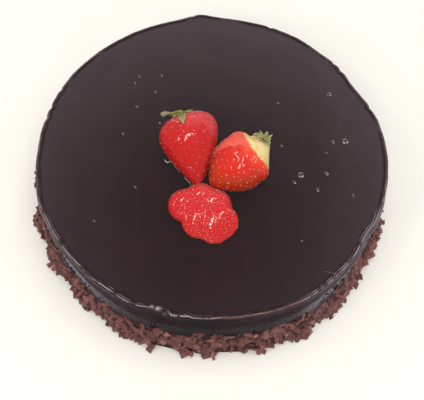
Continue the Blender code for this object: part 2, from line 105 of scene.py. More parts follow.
# The lobed berry: each lobe's x, y, radius and lift as a share of that; its core (x, y,
# height, radius); and how softly they blend.
LOBES = (
    (-0.0066, -0.0408, 0.0106, 0.86),
    (0.0030, -0.0445, 0.0108, 0.72),
    (-0.0169, -0.0451, 0.0107, 0.72),
    (-0.0080, -0.0571, 0.0100, 0.72),
    (0.0029, -0.0607, 0.0109, 0.72),
    (0.0078, -0.0562, 0.0108, 0.72),
)
LOBED_CORE = (-0.0040, -0.0500, 0.0040, 0.0110)
LOBED_BLEND = 0.0012
# Its sloping top: the slope in degrees, where it meets the front (y, height), the swellings
# on it (x, y, radius across), their steepest slope, how much less they curve down the slope,
# how narrow the valleys between them are, and how softly the lobes end at it.
TOP_SLOPE = 27.0
TOP_FOOT = (-0.0735, 0.0028)
TOP_SWELLINGS = (
    (-0.0065, -0.0336, 0.021),
    (0.0027, -0.0387, 0.021),
    (-0.0177, -0.0390, 0.021),
    (-0.0084, -0.0519, 0.021),
    (0.0027, -0.0548, 0.021),
    (0.0084, -0.0512, 0.012),
)
SWELLING_SLOPE = 0.35
SWELLING_STRETCH = 0.83
VALLEY = 0.00006
TOP_EDGE = 0.0010
# Where its top mirrors the long lamp: x and y.
LAMP_SPOTS = (
    (-0.0077, -0.0411),
    (0.0013, -0.0446),
    (-0.0184, -0.0452),
    (-0.0095, -0.0543),
    (0.0013, -0.0568),
    (0.0077, -0.0528),
)
# Leaves: bearing round the hub, length, half width in degrees, lift of the tip.
LEFT_LEAVES = (
    (100.0, 0.0150, 24.0, 0.0004),
    (52.0, 0.0090, 15.0, 0.0006),
    (329.0, 0.0098, 17.0, 0.0007),
    (285.0, 0.0080, 17.0, 0.0014),
    (245.0, 0.0082, 16.0, 0.0026),
    (200.0, 0.0080, 17.0, 0.0014),
    (155.0, 0.0078, 18.0, 0.0010),
)
RIGHT_LEAVES = (
    (5.0, 0.0084, 17.0, 0.0016),
    (46.0, 0.0084, 17.0, 0.0016),
    (82.0, 0.0092, 17.0, 0.0010),
    (116.0, 0.0094, 17.0, 0.0014),
    (152.0, 0.0090, 17.0, 0.0024),
    (204.0, 0.0078, 17.0, 0.0034),
    (249.0, 0.0058, 17.0, 0.0022),
    (292.0, 0.0046, 17.0, 0.0012),
    (330.0, 0.0056, 17.0, 0.0012),
)
LEAF_HUB = 0.0026
LEAF_GAP = 0.0006
LEAF_THICKNESS = 0.00042
STEM_RADIUS = 0.0009
STEM_LENGTH = 0.0128

# ---- the finer forms ----
FLAKE_COUNT = 1150
CRUMB_COUNT = 700
GLAZE_COLUMNS = 640
EDGE_ROUND = 0.0013
# The soft ridge along the wall: bearing, height, how far it stands out.
RIDGE = (
    (20.0, 0.0440, 0.0009),
    (90.0, 0.0420, 0.0008),
    (150.0, 0.0430, 0.0008),
    (190.0, 0.0490, 0.0008),
    (214.0, 0.0485, 0.0012),
    (232.0, 0.0445, 0.0014),
    (252.0, 0.0410, 0.0012),
    (275.0, 0.0395, 0.0009),
    (290.0, 0.0410, 0.0009),
    (305.0, 0.0450, 0.0014),
    (322.0, 0.0465, 0.0016),
    (345.0, 0.0470, 0.0010),
)
# How clear the pale line along the rim's edge is, a painted highlight where the rounded edge
# catches the light, and how thin the glaze is there: bearing, share, share.
EDGE_LOOK = (
    (20.0, 0.35, 0.15),
    (90.0, 0.40, 0.20),
    (150.0, 0.45, 0.10),
    (184.0, 0.50, 0.10),
    (188.0, 0.15, 0.90),
    (198.0, 0.20, 0.90),
    (202.0, 0.80, 0.20),
    (226.0, 0.80, 0.30),
    (230.0, 0.20, 0.05),
    (235.0, 0.95, 0.05),
    (247.5, 0.78, 0.05),
    (250.8, 0.80, 0.05),
    (252.8, 0.45, 0.05),
    (254.0, 0.12, 0.05),
    (257.6, 0.12, 0.05),
    (258.4, 0.80, 0.05),
    (271.0, 0.76, 0.10),
    (276.0, 0.30, 0.55),
    (297.0, 0.35, 0.55),
    (303.0, 1.00, 0.15),
    (345.0, 0.90, 0.15),
    (352.0, 0.30, 0.80),
    (362.0, 0.25, 0.80),
)
# Where that line runs: bearing, and how far it lies down the rounded edge in millimetres,
# below nought for in over the top.
EDGE_PATH = (
    (247.0, 0.5),
    (249.1, 0.4),
    (250.8, -0.2),
    (252.6, -0.9),
    (254.9, -1.5),
    (256.5, -2.3),
    (257.7, -2.1),
    (258.5, -0.9),
    (259.4, 0.9),
    (260.2, 1.2),
    (261.4, 0.5),
    (263.4, -0.2),
    (264.4, 0.5),
    (265.6, 0.9),
    (270.0, 1.0),
    (275.0, 0.5),
)
# The drop of glaze on the rim and the small ones by it, each raised in the glaze and painted
# pale as a highlight: bearing, the same distance, size in millimetres and how clear each is.
EDGE_DROPS = (
    (254.9, -1.4, 1.10, 1.0),
    (255.6, -2.0, 0.80, 0.55),
    (253.0, -1.8, 0.75, 0.9),
    (257.3, 1.6, 0.70, 0.45),
)
# Small nicks in the rim: their half width in degrees, and the bearing and depth of each.
NICK_WIDTH = 0.9
NICKS = (
    (20.5, 0.0009),
    (38.7, 0.0010),
    (42.6, 0.0008),
    (70.2, 0.0008),
    (98.3, 0.0007),
    (155.8, 0.0008),
    (163.5, 0.0010),
    (168.0, 0.0008),
)
# How far the middles of threads of gel lie off what they lie on, and the radii of the curls
# of gel by the whole berries' seeds and between them, pale curls painted in as glints of light.
GEL_RISE = 0.00006
LARGE_CURL = 0.00062
SMALL_CURL = 0.00042
# Threads of clear gel on the glaze, pale as painted highlights of glints on it, the faint last
# one a scratch: how white, how thick, and points along each.
GEL_THREADS = (
    (
        1.00,
        0.00034,
        ((-0.0322, -0.0062), (-0.0311, -0.0079), (-0.0301, -0.0085), (-0.0292, -0.0079), (-0.0279, -0.0073)),
    ),
    (0.25, 0.00026, ((-0.0276, -0.0076), (-0.0256, -0.0102), (-0.0234, -0.0133), (-0.0213, -0.0162))),
    (0.55, 0.00026, ((-0.0185, -0.0196), (-0.0160, -0.0220), (-0.0146, -0.0234), (-0.0133, -0.0257))),
    (
        0.75,
        0.00036,
        ((0.0035, 0.0064), (0.0023, 0.0031), (0.0013, -0.0005), (0.0000, -0.0042), (-0.0013, -0.0082)),
    ),
    (0.40, 0.00020, ((-0.0375, 0.0238), (-0.0373, 0.0226))),
    (0.12, 0.00018, ((0.0726, -0.0846), (0.0777, -0.0858), (0.0827, -0.0863))),
)
# Lines of gel on the berries, pale as painted highlights of glints on the skin: how white,
# how thick, and points along each as the distance along the berry's axis from its middle
# and the turn round it in degrees.
LEFT_LINES = (
    (0.55, 0.00013, ((-0.0179, 12.0), (-0.0182, 26.0), (-0.0176, 40.0), (-0.0166, 50.0))),
    (0.80, 0.00016, ((-0.0162, 53.0), (-0.0147, 63.0), (-0.0150, 68.0))),
    (0.55, 0.00012, ((-0.0150, 92.0), (-0.0155, 99.0), (-0.0149, 107.0))),
    (0.60, 0.00012, ((0.0163, 59.0), (0.0156, 64.0), (0.0160, 70.0), (0.0169, 73.0))),
    (0.62, 0.00015, ((0.0053, 157.0), (0.0071, 158.0), (0.0092, 157.0), (0.0115, 157.0))),
    (0.72, 0.00014, ((0.0125, 156.5), (0.0138, 157.0), (0.0152, 155.0))),
    (0.70, 0.00014, ((-0.0050, 89.0), (-0.0038, 86.5))),
    (0.60, 0.00012, ((-0.0048, 92.0), (-0.0036, 90.5))),
)
RIGHT_LINES = (
    (0.66, 0.00013, ((-0.0006, 66.5), (-0.0036, 75.2), (-0.0054, 80.0))),
    (0.50, 0.00012, ((-0.0060, 82.0), (-0.0072, 85.2), (-0.0092, 94.1), (-0.0099, 98.3))),
    (0.85, 0.00018, ((0.0004, 87.5), (0.0001, 91.2), (-0.0012, 91.0), (-0.0028, 90.2))),
    (0.90, 0.00018, ((0.0004, 92.2), (-0.0001, 98.6), (0.0001, 103.5), (0.0019, 107.1))),
    (1.00, 0.00021, ((-0.0025, 105.9), (-0.0018, 109.8), (-0.0002, 112.9))),
    (0.95, 0.00018, ((-0.0058, 106.0), (-0.0047, 111.2))),
    (0.80, 0.00016, ((-0.0105, 125.1), (-0.0085, 127.2), (-0.0065, 129.0))),
    (0.70, 0.00016, ((-0.0090, 116.0), (-0.0089, 119.0), (-0.0096, 124.0))),
)
# Where the flakes stand out in clumps: bearing, half width in degrees, how far.
SKIRT_CLUMPS = (
    (6.0, 5.0, 0.0040),
    (20.0, 5.0, 0.0050),
    (35.0, 4.0, 0.0030),
    (50.0, 5.0, 0.0050),
    (66.0, 5.0, 0.0040),
    (80.0, 4.0, 0.0046),
    (98.0, 5.0, 0.0020),
    (112.0, 5.0, 0.0046),
    (128.0, 4.0, 0.0038),
    (143.0, 5.0, 0.0048),
    (160.0, 5.0, 0.0040),
    (178.0, 5.0, 0.0058),
    (194.0, 5.0, 0.0053),
    (211.0, 5.0, 0.0052),
    (228.0, 4.0, 0.0030),
    (242.5, 5.0, 0.0034),
    (252.0, 2.6, 0.0055),
    (264.5, 3.0, 0.0050),
    (272.0, 2.5, 0.0058),
    (285.0, 3.2, 0.0052),
    (299.5, 3.6, 0.0048),
    (314.5, 4.6, 0.0056),
    (327.0, 4.5, 0.0034),
    (337.0, 4.0, 0.0034),
    (346.0, 4.5, 0.0030),
)
# How far the flakes lie out of the wall between the clumps.
SKIRT_REACH = 0.0020
# The golden turn, which spreads things evenly round.
GOLDEN_TURN = math.pi * (3.0 - math.sqrt(5.0))
# Bubbles in the glaze: x, y and radius.
BUBBLES = (
    (0.0820, 0.0519, 0.0015),
    (0.0916, 0.0130, 0.0020),
    (0.0830, 0.0121, 0.0012),
    (0.0780, 0.0032, 0.0007),
    (0.0775, -0.0133, 0.0013),
    (0.0603, -0.0150, 0.0019),
    (0.0557, -0.0209, 0.0012),
    (0.0712, -0.0261, 0.0012),
    (0.0947, -0.0291, 0.0009),
    (0.0454, 0.0433, 0.0008),
    (0.0475, 0.0076, 0.0008),
    (-0.0382, 0.0640, 0.0009),
    (-0.0421, 0.0496, 0.0010),
    (-0.0547, 0.0624, 0.0008),
    (-0.0569, 0.0568, 0.0008),
    (-0.0543, 0.0363, 0.0009),
    (-0.0621, 0.0134, 0.0008),
    (-0.0506, -0.0282, 0.0008),
    (-0.0373, 0.0233, 0.0008),
    (-0.0756, -0.0544, 0.0007),
    (0.0596, -0.0641, 0.0006),
)

# ---- light ----
# What the glaze mirrors: brightness by the angle in degrees from the room's dim middle.
ROOM_LIGHT = (
    (4.0, 0.22),
    (7.5, 0.34),
    (10.5, 0.51),
    (13.0, 0.77),
    (16.0, 1.0),
    (24.0, 0.78),
    (40.0, 0.44),
    (60.0, 0.34),
    (85.0, 0.30),
    (110.0, 0.34),
    (125.0, 0.36),
    (140.0, 0.30),
    (152.0, 0.14),
)


# ================================ meshes ================================


def put_mesh(name, points, quads, triangles, material, smooth=True, values=None):
    """A piece of these points and faces, riding on the cake. The values are numbers for each
    point, by name, that the material reads."""
    loops = []
    totals = []
    for faces in (quads, triangles):
        if faces is not None and len(faces):
            loops.append(np.asarray(faces, np.int32).ravel())
            totals.append(np.full(len(faces), np.shape(faces)[1], np.int32))
    loops = np.concatenate(loops)
    totals = np.concatenate(totals)
    starts = np.concatenate([[0], np.cumsum(totals)[:-1]]).astype(np.int32)
    points = np.asarray(points, np.float32).reshape(-1, 3)
    mesh = bpy.data.meshes.new(name)
    mesh.vertices.add(len(points))
    mesh.vertices.foreach_set("co", points.ravel())
    mesh.loops.add(len(loops))
    mesh.loops.foreach_set("vertex_index", loops)
    mesh.polygons.add(len(totals))
    mesh.polygons.foreach_set("loop_start", starts)
    mesh.polygons.foreach_set("use_smooth", np.full(len(totals), smooth))
    mesh.update(calc_edges=True)
    mesh.validate()
    for label, numbers in (values or {}).items():
        attribute = mesh.attributes.new(label, "FLOAT", "POINT")
        attribute.data.foreach_set("value", np.asarray(numbers, np.float32).ravel())
    mesh.materials.append(material)
    piece = bpy.data.objects.new(name, mesh)
    bpy.context.scene.collection.objects.link(piece)
    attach(piece, "root")
    return piece


def closed_quads(rows, columns):
    """Quads between rows of points that close round on themselves."""
    row, column = np.meshgrid(np.arange(rows - 1), np.arange(columns), indexing="ij")
    after = (column + 1) % columns
    low = row * columns
    high = low + columns
    return np.stack([low + column, low + after, high + after, high + column], axis=-1).reshape(-1, 4)


def pole_fans(rows, columns):
    """Triangles from the first pole to the first row and from the last row to the last pole.
    The poles are the two points after the grid."""
    here = np.arange(columns)
    after = (here + 1) % columns
    first = rows * columns
    last = (rows - 1) * columns
    low = np.stack([np.full(columns, first), after, here], axis=1)
    high = np.stack([last + here, last + after, np.full(columns, first + 1)], axis=1)
    return np.concatenate([low, high])


def outward_faces(rows, columns):
    """The quads and the fans of a closed grid that runs the other way, turned to face out."""
    return closed_quads(rows, columns)[:, ::-1], pole_fans(rows, columns)[:, ::-1]


def repeated(faces, count, size):
    """The same faces for each of so many shapes of so many points."""
    starts = (np.arange(count) * size)[:, None, None]
    return (starts + faces[None]).reshape(-1, faces.shape[1])


def unmirrored(piece, node):
    """A piece that stands for a node and of which the glaze mirrors nothing."""
    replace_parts(piece, node)
    piece.visible_glossy = False


def bell(value):
    """1 at nought, falling away smoothly to both sides: e to the minus square."""
    return np.exp(-(value**2))


def apart(bearing, middle):
    """How far bearings in degrees are from a middle one, from -180 to 180."""
    return (bearing - middle + 180.0) % 360.0 - 180.0


def unit(vectors):
    """Vectors scaled to a length of one."""
    return vectors / np.linalg.norm(vectors, axis=-1, keepdims=True)


def full_turn(columns):
    """Angles evenly round a full turn."""
    return np.arange(columns) * 2.0 * math.pi / columns


def smooth_step(low, high, value):
    """0 at low and before it, 1 at high and beyond it, and a smooth change between."""
    share = np.clip((value - low) / (high - low), 0.0, 1.0)
    return share * share * (3.0 - 2.0 * share)


def grid_normals(points, middle):
    """Unit normals of a grid whose columns close round: the cross product of the differences
    along the columns and the rows, all turned so that they face away from a middle point."""
    around = np.roll(points, -1, axis=1) - np.roll(points, 1, axis=1)
    along = np.gradient(points, axis=0)
    normal = np.cross(around, along)
    normal = normal / np.maximum(np.linalg.norm(normal, axis=-1, keepdims=True), 1e-12)
    return normal * np.sign((normal * (points - middle)).sum())


def soft_noise(seed, *coordinates, levels=4):
    """A smooth unevenness between about -1 and 1: a sum of sine waves in random directions,
    each weaker as it gets finer."""
    draw = np.random.default_rng(seed)
    total = 0.0
    weight = 0.0
    for level in range(levels):
        for _ in range(4):
            direction = draw.normal(size=len(coordinates))
            direction *= 2.0**level / np.linalg.norm(direction)
            phase = draw.uniform(0.0, 2.0 * math.pi)
            wave = sum(part * value for part, value in zip(direction, coordinates)) + phase
            total = total + np.sin(wave) * 0.6**level
        weight += 4.0 * 0.36**level
    return total / math.sqrt(weight * 2.0)


# ================================ materials ================================


def start_material(name):
    """A new material and its Principled shader."""
    material = bpy.data.materials.new(name)
    material.use_nodes = True
    return material, material.node_tree.nodes["Principled BSDF"]


def feed(tree, socket, value):
    """Gives an input an output to read, a colour or a number."""
    if isinstance(value, bpy.types.NodeSocket):
        tree.links.new(value, socket)
    elif isinstance(value, tuple):
        socket.default_value = (*value, 1.0)
    else:
        socket.default_value = value


def maths(tree, operation, *values, clamp=False):
    """A Math node in a node tree, on outputs or numbers."""
    node = tree.nodes.new("ShaderNodeMath")
    node.operation = operation
    node.use_clamp = clamp
    for socket, value in zip(node.inputs, values):
        feed(tree, socket, value)
    return node.outputs[0]


def work_out(owner, operation, *values, clamp=False):
    """A Math node of a material or of the world, on outputs or numbers."""
    return maths(owner.node_tree, operation, *values, clamp=clamp)


def join(owner, source, target):
    """A link from an output to an input in a material or in the world."""
    owner.node_tree.links.new(source, target)


def colour_ramp(owner, share, stops):
    """The colour at a share along a ramp through (place, colour) stops."""
    node = owner.node_tree.nodes.new("ShaderNodeValToRGB")
    ramp = node.color_ramp
    while len(ramp.elements) > 1:
        ramp.elements.remove(ramp.elements[-1])
    ramp.elements[0].position = stops[0][0]
    ramp.elements[0].color = (*stops[0][1], 1.0)
    for place, colour in stops[1:]:
        element = ramp.elements.new(place)
        element.color = (*colour, 1.0)
    join(owner, share, node.inputs[0])
    return node.outputs[0]


def mix_colours(material, share, low, high):
    """A mix of two colours; each argument is an output, a colour or a number."""
    node = material.node_tree.nodes.new("ShaderNodeMix")
    node.data_type = "RGBA"
    for socket, value in ((node.inputs[0], share), (node.inputs[6], low), (node.inputs[7], high)):
        feed(material.node_tree, socket, value)
    return node.outputs[2]


def point_value(material, label):
    """The number that the mesh carries for each point under this label."""
    node = material.node_tree.nodes.new("ShaderNodeAttribute")
    node.attribute_name = label
    return node.outputs["Fac"]


def make_mottle_group():
    """Mottling for every finish: two sizes of noise on Object coordinates. Inputs: the size
    of a mark in metres. Outputs: a coarse mask, a fine mask and their blend."""
    group = bpy.data.node_groups.new("mottle", "ShaderNodeTree")
    group.interface.new_socket("Size", in_out="INPUT", socket_type="NodeSocketFloat")
    for label in ("Coarse", "Fine", "Blend"):
        group.interface.new_socket(label, in_out="OUTPUT", socket_type="NodeSocketFloat")
    nodes = group.nodes
    links = group.links
    given = nodes.new("NodeGroupInput")
    made = nodes.new("NodeGroupOutput")
    place = nodes.new("ShaderNodeTexCoord")
    scale = maths(group, "DIVIDE", 1.0, given.outputs["Size"])
    finer = maths(group, "MULTIPLY", scale, 4.3)
    masks = []
    for source in (scale, finer):
        noise = nodes.new("ShaderNodeTexNoise")
        noise.inputs["Detail"].default_value = 3.0
        links.new(place.outputs["Object"], noise.inputs["Vector"])
        links.new(source, noise.inputs["Scale"])
        masks.append(noise.outputs[0])
    coarse, fine = masks
    blend = maths(group, "MULTIPLY_ADD", fine, 0.45, maths(group, "MULTIPLY", coarse, 0.55))
    for label, output in (("Coarse", coarse), ("Fine", fine), ("Blend", blend)):
        links.new(output, made.inputs[label])
    return group


MOTTLE = make_mottle_group()


def add_mottle(material, size):
    """The mottling group, with this size of mark."""
    node = material.node_tree.nodes.new("ShaderNodeGroup")
    node.node_tree = MOTTLE
    node.inputs["Size"].default_value = size
    return node


def add_bump(material, shader, height, strength, distance):
    """A bump from a height output into the shader's normal."""
    node = material.node_tree.nodes.new("ShaderNodeBump")
    node.inputs["Strength"].default_value = strength
    node.inputs["Distance"].default_value = distance
    join(material, height, node.inputs["Height"])
    join(material, node.outputs[0], shader.inputs["Normal"])


def glaze_material():
    """Dark chocolate mirror glaze: near black brown, redder where it runs thin over the rim,
    pale along its edge where a highlight is painted in, and dull dark crumb where the flakes cover it."""
    material, shader = start_material("dark_chocolate_glaze")
    mottle = add_mottle(material, 0.045)
    dark = (0.0140, 0.0050, 0.0056)
    light = (0.0200, 0.0078, 0.0083)
    colour = colour_ramp(material, mottle.outputs["Blend"], ((0.35, dark), (0.65, light)))
    colour = mix_colours(material, point_value(material, "thin"), colour, (0.120, 0.034, 0.026))
    # A painted highlight: the pale line along the rim's edge and on the drops there.
    colour = mix_colours(material, point_value(material, "line"), colour, (0.46, 0.37, 0.39))
    skirt = point_value(material, "skirt")
    colour = mix_colours(material, skirt, colour, (0.034, 0.0125, 0.0105))
    join(material, colour, shader.inputs["Base Color"])
    rough = work_out(material, "MULTIPLY_ADD", skirt, 0.55, 0.055)
    join(material, rough, shader.inputs["Roughness"])
    shader.inputs["IOR"].default_value = 1.47
    fine = add_mottle(material, 0.012)
    add_bump(material, shader, fine.outputs["Coarse"], 0.03, 0.0010)
    return material


def gel_material(name, thin, pale):
    """Clear gel: the colour of what it lies on, turning pale as its tone rises, which paints
    the highlights where it catches the light."""
    material, shader = start_material(name)
    middle = tuple(0.70 * low + 0.30 * high for low, high in zip(thin, pale))
    mottle = add_mottle(material, 0.0015)
    uneven = work_out(material, "MULTIPLY", mottle.outputs["Blend"], 2.0)
    tone = work_out(material, "MULTIPLY", uneven, point_value(material, "tone"))
    colour = colour_ramp(material, tone, ((0.0, thin), (0.35, middle), (1.0, pale)))
    join(material, colour, shader.inputs["Base Color"])
    shader.inputs["Roughness"].default_value = 0.12
    return material


def flake_material():
    """Milk chocolate shavings: a satin brown that differs from flake to flake, paler on
    scraped faces, with fine scoring."""
    material, shader = start_material("milk_chocolate_shaving")
    mottle = add_mottle(material, 0.0040)
    tone = work_out(material, "ADD", point_value(material, "tone"), -0.25)
    uneven = work_out(material, "MULTIPLY_ADD", mottle.outputs["Blend"], 0.5, tone)
    dark = (0.060, 0.021, 0.018)
    brown = (0.135, 0.049, 0.043)
    light = (0.215, 0.082, 0.072)
    scraped = (0.320, 0.140, 0.118)
    stops = ((0.0, dark), (0.35, brown), (0.7, light), (1.0, scraped))
    join(material, colour_ramp(material, uneven, stops), shader.inputs["Base Color"])
    shader.inputs["Roughness"].default_value = 0.46
    shader.inputs["Specular IOR Level"].default_value = 0.40
    add_bump(material, shader, mottle.outputs["Fine"], 0.35, 0.0004)
    return material


def flesh_material(name, ripe_stops, blush, bare_colour, bare_share, low_colour, grain_and_glint_colour):
    """Strawberry flesh: its colour follows how ripe each place is, with mottling, and turns
    to another colour low down; it is glossy where the clear coat was brushed on, and duller,
    paler and frosted where it is bare."""
    material, shader = start_material(name)
    mottle = add_mottle(material, 0.0065)
    frost = add_mottle(material, 0.0016)
    ripe = point_value(material, "ripe")
    shifted = work_out(material, "ADD", ripe, -0.08)
    mottled = work_out(material, "MULTIPLY_ADD", mottle.outputs["Coarse"], 0.16, shifted)
    colour = colour_ramp(material, mottled, ripe_stops)
    below = work_out(material, "MULTIPLY", point_value(material, "below"), 0.85)
    colour = mix_colours(material, below, colour, low_colour)
    coated = point_value(material, "coated")
    bare = work_out(material, "MULTIPLY", work_out(material, "SUBTRACT", 1.0, coated), bare_share)
    grain = work_out(material, "MULTIPLY", frost.outputs["Fine"], 2.0)
    frosted = work_out(material, "MULTIPLY", bare, grain, clamp=True)
    bare_mix = mix_colours(material, frosted, colour, bare_colour)
    red = work_out(material, "GREATER_THAN", ripe, 0.35)
    colour = mix_colours(material, red, colour, bare_mix)
    pit = work_out(material, "MULTIPLY", point_value(material, "pit"), 0.40)
    colour = mix_colours(material, pit, colour, blush)
    # Fine pale specks over the flesh: the skin's grain, and painted glints of light.
    grain_and_glint = work_out(material, "MULTIPLY_ADD", frost.outputs["Fine"], 7.0, -3.95, clamp=True)
    colour = mix_colours(material, work_out(material, "MULTIPLY", grain_and_glint, 0.30), colour, grain_and_glint_colour)
    shade = work_out(material, "MULTIPLY_ADD", frost.outputs["Fine"], -7.0, 2.95, clamp=True)
    colour = mix_colours(material, work_out(material, "MULTIPLY", shade, 0.22), colour, blush)
    join(material, colour, shader.inputs["Base Color"])
    rough = work_out(material, "MULTIPLY_ADD", coated, -0.31, 0.40)
    join(material, rough, shader.inputs["Roughness"])
    shader.inputs["Specular IOR Level"].default_value = 0.36
    shader.inputs["Subsurface Weight"].default_value = 0.10
    shader.inputs["Subsurface Radius"].default_value = (1.0, 0.25, 0.15)
    shader.inputs["Subsurface Scale"].default_value = 0.0025
    add_bump(material, shader, frost.outputs["Coarse"], 0.10, 0.0004)
    return material


def seed_material(name, colours):
    """Strawberry seeds: straw coloured to reddish, a little glossy."""
    material, shader = start_material(name)
    colour = colour_ramp(material, point_value(material, "tone"), colours)
    mottle = add_mottle(material, 0.0010)
    flush = work_out(material, "MULTIPLY", mottle.outputs["Fine"], 0.35)
    colour = mix_colours(material, flush, colour, (0.45, 0.10, 0.05))
    join(material, colour, shader.inputs["Base Color"])
    shader.inputs["Roughness"].default_value = 0.30
    return material


def leaf_material(name, dark, light, edge):
    """Strawberry leaves: green between veins, paler along the veins and edges, with a fine
    down that makes them dull."""
    material, shader = start_material(name)
    mottle = add_mottle(material, 0.0022)
    colour = colour_ramp(material, mottle.outputs["Blend"], ((0.3, dark), (0.7, light)))
    colour = mix_colours(material, point_value(material, "edge"), colour, edge)
    join(material, colour, shader.inputs["Base Color"])
    shader.inputs["Roughness"].default_value = 0.62
    shader.inputs["Specular IOR Level"].default_value = 0.35
    add_bump(material, shader, mottle.outputs["Fine"], 0.5, 0.0004)
    return material


def stem_material():
    """The stem: yellow green with brown at its dry end, grooved along its length."""
    material, shader = start_material("green_stem")
    mottle = add_mottle(material, 0.0025)
    dark = (0.130, 0.140, 0.018)
    light = (0.240, 0.230, 0.045)
    colour = colour_ramp(material, mottle.outputs["Blend"], ((0.25, dark), (0.75, light)))
    colour = mix_colours(material, point_value(material, "dry"), colour, (0.235, 0.225, 0.130))
    join(material, colour, shader.inputs["Base Color"])
    shader.inputs["Roughness"].default_value = 0.55
    add_bump(material, shader, mottle.outputs["Fine"], 0.4, 0.0004)
    return material


# ================================ the cake ================================


def rim_radius(bearing):
    """The radius of the cake's outline at a bearing in degrees: the plain radius, its dents
    and bulges, and a slow unevenness."""
    radius = np.full(np.shape(bearing), CAKE_RADIUS)
    for middle, width, out in RIM_BUMPS:
        radius = radius + out * bell(apart(bearing, middle) / width)
    angle = np.radians(bearing)
    radius = radius + 0.0003 * np.sin(3.0 * angle + 0.8)
    radius = radius + 0.0002 * np.sin(7.0 * angle + 2.0)
    return radius


def berry_profile(berry, along):
    """The radius of a berry at distances along its axis from its middle: a powered sine for
    the body, blended with a bell for the neck."""
    body_power, round_power = berry["powers"]
    neck_radius, neck_reach, neck_power, blend = berry["neck"]
    length = berry["length"]
    share = np.clip(along / length + BERRY_MIDDLE, 0.0, 1.0)
    body = 0.5 * berry["width"] * np.sin(np.pi * share**body_power) ** round_power
    neck_middle = -BERRY_MIDDLE * length + NECK_OFFSET
    far = np.clip((along - neck_middle) / neck_reach, -1.0, 1.0)
    neck = neck_radius * (1.0 - far * far) ** neck_power
    return (body**blend + neck**blend) ** (1.0 / blend)


def berry_unevenness(berry, along, turn):
    """The share by which a berry's radius departs from its profile: two slow waves round the
    axis, the dent in its shoulder, and the hollow behind its neck, filled on one side up to a
    straight slope."""
    two, three, phase = berry["lumps"]
    waves = 1.0 + two * np.sin(2.0 * turn + phase) + three * np.sin(3.0 * turn + 2.0 * phase)
    bearing, half_width, place, half_length, depth = berry["dent"]
    degrees = np.degrees(turn) % 360.0
    hollow = bell(apart(degrees, bearing) / half_width) * bell((along - place) / half_length)
    first, last, low, low_radius, high, high_radius = berry["fill"]
    side = smooth_step(first - 12.0, first + 12.0, degrees)
    side = side * smooth_step(last + 12.0, last - 12.0, degrees)
    slope = np.interp(along, (low, high), (low_radius, high_radius), left=0.0, right=0.0)
    filled = side * np.clip(slope / np.maximum(berry_profile(berry, along), 0.001) - 1.0, 0.0, 0.4)
    return waves - depth * hollow + filled


def berry_local(berry, along, turn):
    """Points on a berry before it is laid down: x sideways, y to the tip, z up."""
    radius = berry_profile(berry, along) * berry_unevenness(berry, along, turn)
    x = radius * np.cos(turn)
    share = along / berry["length"] + BERRY_MIDDLE
    y = along + berry["skew"] * x * (1.0 - share)
    z = radius * BERRY_FLATNESS * np.sin(turn)
    return np.stack(np.broadcast_arrays(x, y, z), axis=-1)


def berry_gap(berry, points):
    """How far points in the berry's own frame are outside its skin, negative inside: their
    distance from the axis less the radius there."""
    length = berry["length"]
    x = points[..., 0]
    slant = berry["skew"] * x
    along = (points[..., 1] - slant * (1.0 - BERRY_MIDDLE)) / (1.0 - slant / length)
    round_z = points[..., 2] / BERRY_FLATNESS
    turn = np.arctan2(round_z, x)
    radius = berry_profile(berry, along) * berry_unevenness(berry, along, turn)
    return np.hypot(x, round_z) - radius


def cast_to_skin(gap, middle, rays, far):
    """Where rays from a middle point leave a solid given by its gap function: the outermost
    crossing, found in steps from far out and then halved in on."""
    steps = 110
    halvings = 12
    reach = np.full(rays.shape[:-1], far)
    searching = np.ones(reach.shape, bool)
    step = far / steps
    for _ in range(steps):
        inside = gap(middle + rays * reach[..., None]) < 0.0
        searching &= ~inside
        reach = np.where(searching, reach - step, reach)
    near = reach
    beyond = reach + step
    for _ in range(halvings):
        half = 0.5 * (near + beyond)
        inside = gap(middle + rays * half[..., None]) < 0.0
        near = np.where(inside, half, near)
        beyond = np.where(inside, beyond, half)
    return near


def lay_down(berry, points, rest):
    """Points of a berry tilted tip down, turned to its heading and set on the glaze."""
    tilt = math.radians(berry["tilt"])
    heading = math.radians(berry["heading"])
    x = points[..., 0]
    y = points[..., 1] * math.cos(tilt) + points[..., 2] * math.sin(tilt)
    z = points[..., 2] * math.cos(tilt) - points[..., 1] * math.sin(tilt) + rest
    east = x * math.cos(heading) - y * math.sin(heading) + berry["x"]
    north = x * math.sin(heading) + y * math.cos(heading) + berry["y"]
    return np.stack([east, north, z], axis=-1)


def berry_stations(berry, rows):
    """Distances along the axis, closer together towards both ends, and the two ends."""
    length = berry["length"]
    start = min(-BERRY_MIDDLE * length, -BERRY_MIDDLE * length + NECK_OFFSET - berry["neck"][1])
    end = (1.0 - BERRY_MIDDLE) * length
    share = (1.0 - np.cos(np.pi * np.arange(1, rows + 1) / (rows + 1))) / 2.0
    return start + (end - start) * share ** berry["row_power"], start, end


def berry_rest(berry):
    """How far the tilted berry rises so that its lowest skin is just sunk in the glaze."""
    along = berry_stations(berry, 80)[0]
    turn = np.radians(np.arange(0, 360, 4))
    points = berry_local(berry, along[:, None], turn[None, :])
    low = lay_down(berry, points, 0.0)[..., 2].min()
    return CAKE_HEIGHT - BERRY_SINK - low


